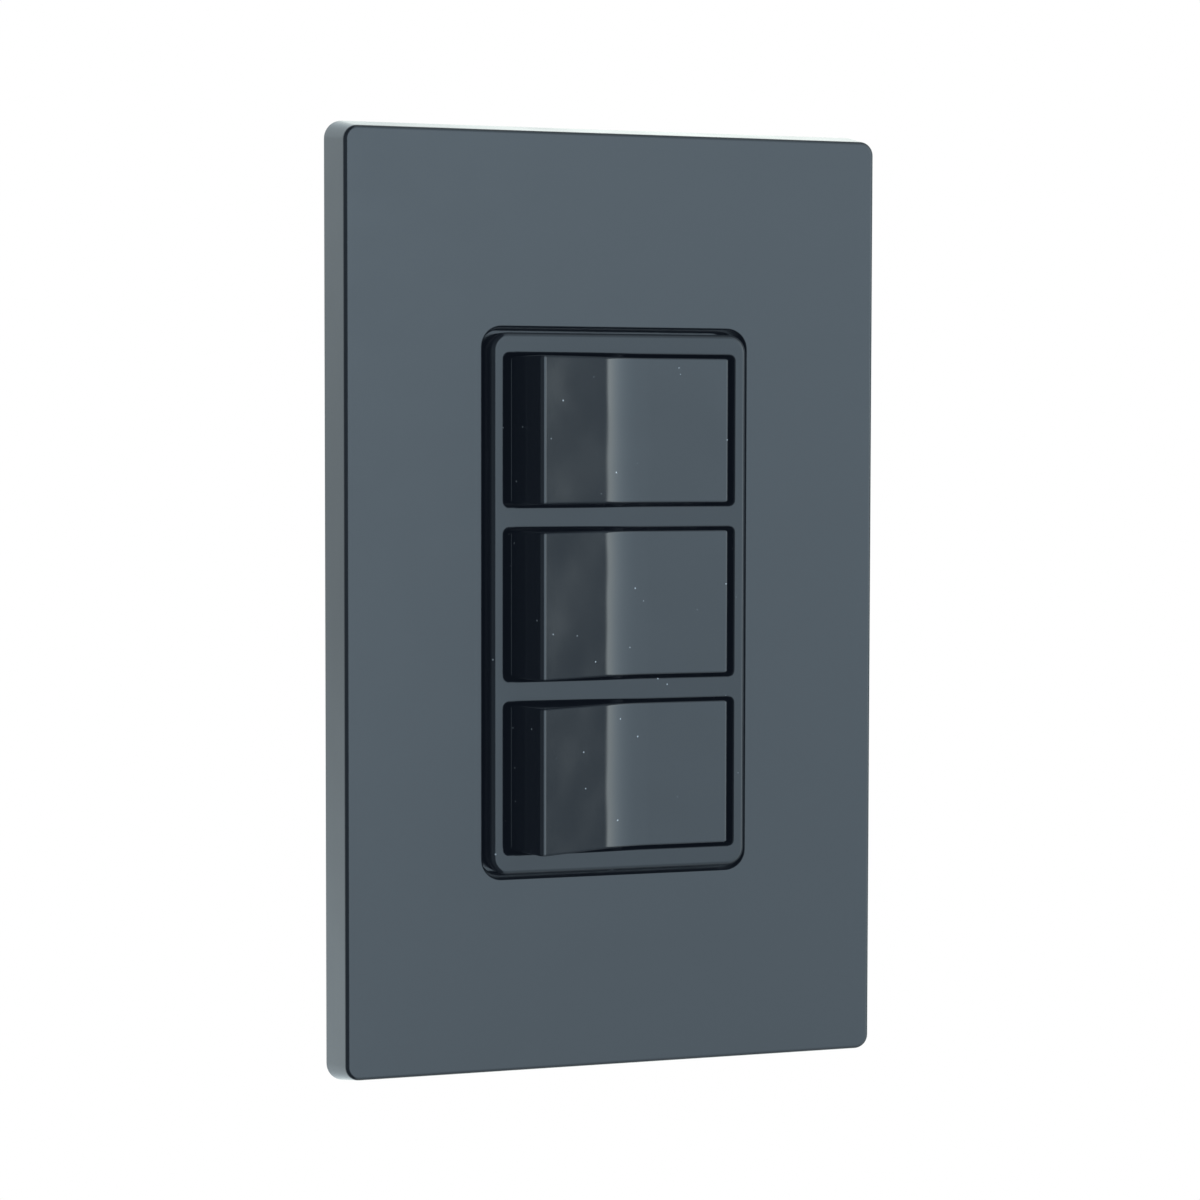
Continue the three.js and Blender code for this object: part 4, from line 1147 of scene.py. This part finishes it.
def deck(bm):
    """The deck between the rockers and the live parts: two rails and four cross bars."""
    inside = TUB_HALF_WIDTH - TUB_WALL + ROOT
    for x in SIDES:
        block(bm, on_side(x, DECK_WINDOW.x, inside), DECK_SPAN, around(MID_Z, DECK_HALF_HEIGHT))
    across = around(0, DECK_WINDOW.x + DECK_ROOT)
    end_bar = (PITCH + DECK_WINDOW.y, DECK_HALF_HEIGHT)
    middle_bar = (DECK_WINDOW.y, PITCH - DECK_WINDOW.y)
    for side in SIDES:
        for near, far in (end_bar, middle_bar):
            block(bm, across, DECK_SPAN, on_side(side, near, far, MID_Z))


def fins_and_ears(bm):
    """Barriers between the side screws, and the ears that the rivets hold."""
    for side in SIDES:
        across = on_side(side, TUB_HALF_WIDTH - DEEP_ROOT, HOUSING_HIGH.x)
        for z in (-BARRIER_Z, -PITCH / 2, PITCH / 2, BARRIER_Z):
            block(bm, across, (FIN_FRONT, TUB_DEPTH - FIN_SHORT), around(MID_Z + z, WALL_HALF))
    for node in RIVETS:
        centre = middle_mm(node)
        side = 1 if centre.z > MID_Z else -1
        reach = abs(centre.z - MID_Z) + EAR_PAST_RIVET
        upright = on_side(side, TUB_HALF_HEIGHT - DEEP_ROOT, reach, MID_Z)
        block(bm, around(centre.x, EAR_HALF_WIDTH), (TUB_SEAT, EAR_DEPTH), upright)


def housing():
    """The moulded housing behind the strap."""
    bm = tub()
    partitions(bm)
    deck(bm)
    fins_and_ears(bm)
    finished(bm, "housing_tub", "switch_housing", "body", bevel=0.2)


# ---- contacts

BUTTON_RADIUS = 1.6
BUTTON_EDGE = 0.1
BUTTON_RIM = 0.45
BUTTON_RISE = 0.32
BUTTON_DOME = (0.0, 0.3, 0.6, 0.9, 1.2, 1.45)
STEM_RADIUS = 0.7
STEM_LENGTH = 1.2
LEVER_FACE = -0.6


def contact(node, name, stem, place, body="switch_body"):
    """A domed silver button; its crown points along its own +Y."""
    profile = [(STEM_RADIUS, -stem), (STEM_RADIUS, 0)] if stem else []
    profile += [(BUTTON_RADIUS - BUTTON_EDGE, 0), (BUTTON_RADIUS, BUTTON_EDGE)]
    for angle in BUTTON_DOME:
        profile.append((BUTTON_RADIUS * math.cos(angle), BUTTON_RIM + BUTTON_RISE * math.sin(angle)))
    bm = bmesh.new()
    turned(bm, profile, place, 32)
    finished(bm, name, node, "silver", body)


def contacts():
    """A fixed button behind each lever's end, and one riveted through the lever."""
    contact_x = middle_mm("fixed_contact_top").x
    for bay in BAYS:
        node = f"fixed_contact_{bay}"
        seat = Matrix.Translation((contact_x, box_mm(node)[1].y, ROCKER_PIVOT[bay].z))
        flipped = seat @ Matrix.Rotation(math.pi, 4, "X")
        contact(node, f"fixed_button_{bay}", 0, flipped)
        seesaw = JOINTS[f"lever_{bay}_seesaw"]
        tilt = math.radians(-seesaw["range_deg"][1] / 2)
        lever = Matrix.Translation(Vector(seesaw["pos_m"]) / MM) @ Matrix.Rotation(tilt, 4, "Z")
        place = lever @ Matrix.Translation((contact_x, LEVER_FACE, 0))
        node = f"moving_contact_{bay}"
        contact(node, f"moving_button_{bay}", STEM_LENGTH, place, f"lever_{bay}_body")


# ---- pieces

TERMINAL_BEVEL = 0.12
LEVER_BEVEL = 0.1

cover_shell()
bezel_frame()
rockers()
for bay_name in BAYS:
    plunger(bay_name)
    spring(bay_name)
    kept(f"load_terminal_{bay_name}", "brass", TERMINAL_BEVEL)
    kept(f"contact_lever_{bay_name}", "copper", LEVER_BEVEL)
    side_screw(f"load_screw_{bay_name}", f"wire_screw_{bay_name}", "brass", -1)
kept("common_terminal", "brass", TERMINAL_BEVEL)
side_screw("common_screw", "wire_screw_common", "dark", 1)
side_screw("ground_screw", "wire_screw_ground", "green", -1)
strap()
sub_plate()
device_screws()
plate_screws()
for rivet_node in RIVETS:
    rivet(rivet_node)
housing()
contacts()


# ---- studio stage

# Light round the horizon as (azimuth, level, warmth): azimuth 0 is straight in front of the
# plate and positive to the right.  One bank of light stands to the right front, brightest
# at its far end; the space round the camera is dark, and the backdrop is white.
HORIZON = (
    (-180, 1.35, 0.7),
    (-125, 1.35, 0.7),
    (-108, 0.3, 0.0),
    (-2, 0.3, 0.0),
    (5, 3.5, 0.0),
    (14, 2.95, 0.0),
    (18.6, 2.45, 0.0),
    (23, 2.6, 0.0),
    (34, 2.6, 0.0),
    (40, 2.7, 0.0),
    (48, 3.0, 0.1),
    (53, 3.4, 0.2),
    (57, 3.8, 0.4),
    (62, 4.4, 0.8),
    (66, 5.0, 1.0),
    (67.8, 0.7, 0.0),
    (80, 0.65, 0.0),
    (110, 0.8, 0.0),
    (152, 1.9, 1.5),
    (160, 1.75, 1.5),
    (168, 1.35, 1.2),
    (180, 1.35, 0.7),
)
# How the light fades with elevation, as (elevation, share): in front, and on the backdrop.
UPRIGHT = ((-90, 0.3), (-45, 0.5), (-12, 0.87), (0, 0.99), (6, 1.16), (30, 0.75), (60, 0.4), (90, 0.3))
BACKDROP = ((-90, 0.6), (-30, 1.0), (-13, 1.25), (-8, 1.05), (-3, 0.73), (5, 0.94), (14, 1.1), (90, 0.6))
COOL = (0.68, 0.86, 1.0)
WARM = (0.86, 0.97, 1.0)
BRIGHTEST = 6.0


def split_by_camera(graph, for_light, for_camera, output):
    """Shows the camera one shader, and gives all other rays another."""
    choose = graph.add("ShaderNodeMixShader")
    graph.feed(choose.inputs[0], graph.add("ShaderNodeLightPath").outputs["Is Camera Ray"])
    graph.feed(choose.inputs[1], for_light.outputs[0])
    graph.feed(choose.inputs[2], for_camera.outputs[0])
    graph.feed(graph.add(output).inputs["Surface"], choose.outputs[0])


def studio_world():
    """White backdrop for the camera; banks of light for everything else."""
    world = bpy.data.worlds.new("studio")
    bpy.context.scene.world = world
    world.use_nodes = True
    graph = Graph(world.node_tree)
    direction = graph.add("ShaderNodeTexCoord").outputs["Generated"]
    axes = graph.add("ShaderNodeSeparateXYZ")
    graph.feed(axes.inputs[0], direction)
    azimuth = graph.math("ARCTAN2", axes.outputs["X"], graph.math("MULTIPLY", axes.outputs["Y"], -1.0))
    elevation = graph.math("ARCSINE", axes.outputs["Z"])
    round_turn = graph.math("MULTIPLY_ADD", azimuth, 0.5 / math.pi, 0.5)
    half_turn = graph.math("MULTIPLY_ADD", elevation, 1 / math.pi, 0.5)

    def colour_at(level, warmth):
        mixed = [cool + (warm - cool) * warmth for cool, warm in zip(COOL, WARM)]
        return [channel * level / mixed[1] / BRIGHTEST for channel in mixed] + [1]

    horizon = graph.add("ShaderNodeValToRGB")
    graph.supply(horizon, Fac=round_turn)
    fill_stops(horizon, [((a + 180) / 360, colour_at(level, warmth)) for a, level, warmth in HORIZON])
    shares = []
    for fade in (UPRIGHT, BACKDROP):
        ramp = graph.add("ShaderNodeValToRGB")
        graph.supply(ramp, Fac=half_turn)
        fill_stops(ramp, [((e + 90) / 180, [share / 2, share / 2, share / 2, 1]) for e, share in fade])
        shares.append(ramp.outputs["Color"])
    behind = graph.ramp(axes.outputs["Y"], 0.0, 0.3)
    share = graph.mix(behind, *shares)
    light = graph.add("ShaderNodeBackground")
    strength = graph.math("MULTIPLY", share, 2 * BRIGHTEST)
    graph.supply(light, Color=horizon.outputs["Color"], Strength=strength)
    white = graph.add("ShaderNodeBackground")
    graph.supply(white, Color=(1, 1, 1, 1))
    split_by_camera(graph, light, white, "ShaderNodeOutputWorld")


def fill_stops(node, stops):
    """Puts (position, colour) stops on a colour ramp."""
    elements = node.color_ramp.elements
    while len(elements) > 1:
        elements.remove(elements[-1])
    elements[0].position = stops[0][0]
    elements[0].color = stops[0][1]
    for position, colour in stops[1:]:
        elements.new(position).color = colour


FLOOR_HALF_WIDTH = 3
FLOOR_GAP = 0.0002


def studio_floor():
    """A pale floor just under the plate, lit up to the white of the backdrop."""
    material = bpy.data.materials.new("pale_floor")
    material.use_nodes = True
    graph = Graph(material.node_tree)
    matte = graph.add("ShaderNodeBsdfDiffuse")
    graph.supply(matte, Color=(0.8, 0.8, 0.8, 1))
    split_by_camera(graph, matte, graph.add("ShaderNodeEmission"), "ShaderNodeOutputMaterial")
    bm = bmesh.new()
    bmesh.ops.create_grid(bm, x_segments=1, y_segments=1, size=FLOOR_HALF_WIDTH)
    floor = to_object(bm, "floor")
    floor.data.materials.append(material)
    floor.location.z = -FLOOR_GAP
    floor.visible_glossy = False


CAMERA_AZIMUTH = math.radians(-18.6)
CAMERA_ELEVATION = math.radians(2.96)
CAMERA_ROLL = math.radians(0.1)
CAMERA_DISTANCE = 0.38875
SENSOR_WIDTH = 36
FOCAL_LENGTH = 94.05


def camera():
    """The camera looks from the left and a little above the middle."""
    target = Vector((0, 0, MID_Z * MM))
    back = Vector((
        math.sin(CAMERA_AZIMUTH) * math.cos(CAMERA_ELEVATION),
        -math.cos(CAMERA_AZIMUTH) * math.cos(CAMERA_ELEVATION),
        math.sin(CAMERA_ELEVATION),
    ))
    data = bpy.data.cameras.new("camera")
    data.sensor_width = SENSOR_WIDTH
    data.lens = FOCAL_LENGTH
    data.clip_start = 0.01
    eye = bpy.data.objects.new("camera", data)
    eye.location = target + back * CAMERA_DISTANCE
    eye.rotation_mode = "QUATERNION"
    rolled = Matrix.Rotation(CAMERA_ROLL, 4, "Z").to_quaternion()
    eye.rotation_quaternion = (-back).to_track_quat("-Z", "Y") @ rolled
    bpy.context.scene.collection.objects.link(eye)
    bpy.context.scene.camera = eye


HAZE = (-0.0036, -0.0052, -0.0085)


def lens_haze():
    """A lens scatters a little of a white backdrop over the darkest parts of the picture."""
    view = bpy.context.scene.view_settings
    view.use_curve_mapping = True
    view.curve_mapping.black_level = HAZE
    view.curve_mapping.update()


studio_world()
studio_floor()
camera()
bpy.context.scene.view_settings.view_transform = "Standard"
bpy.context.scene.view_settings.look = "None"
lens_haze()
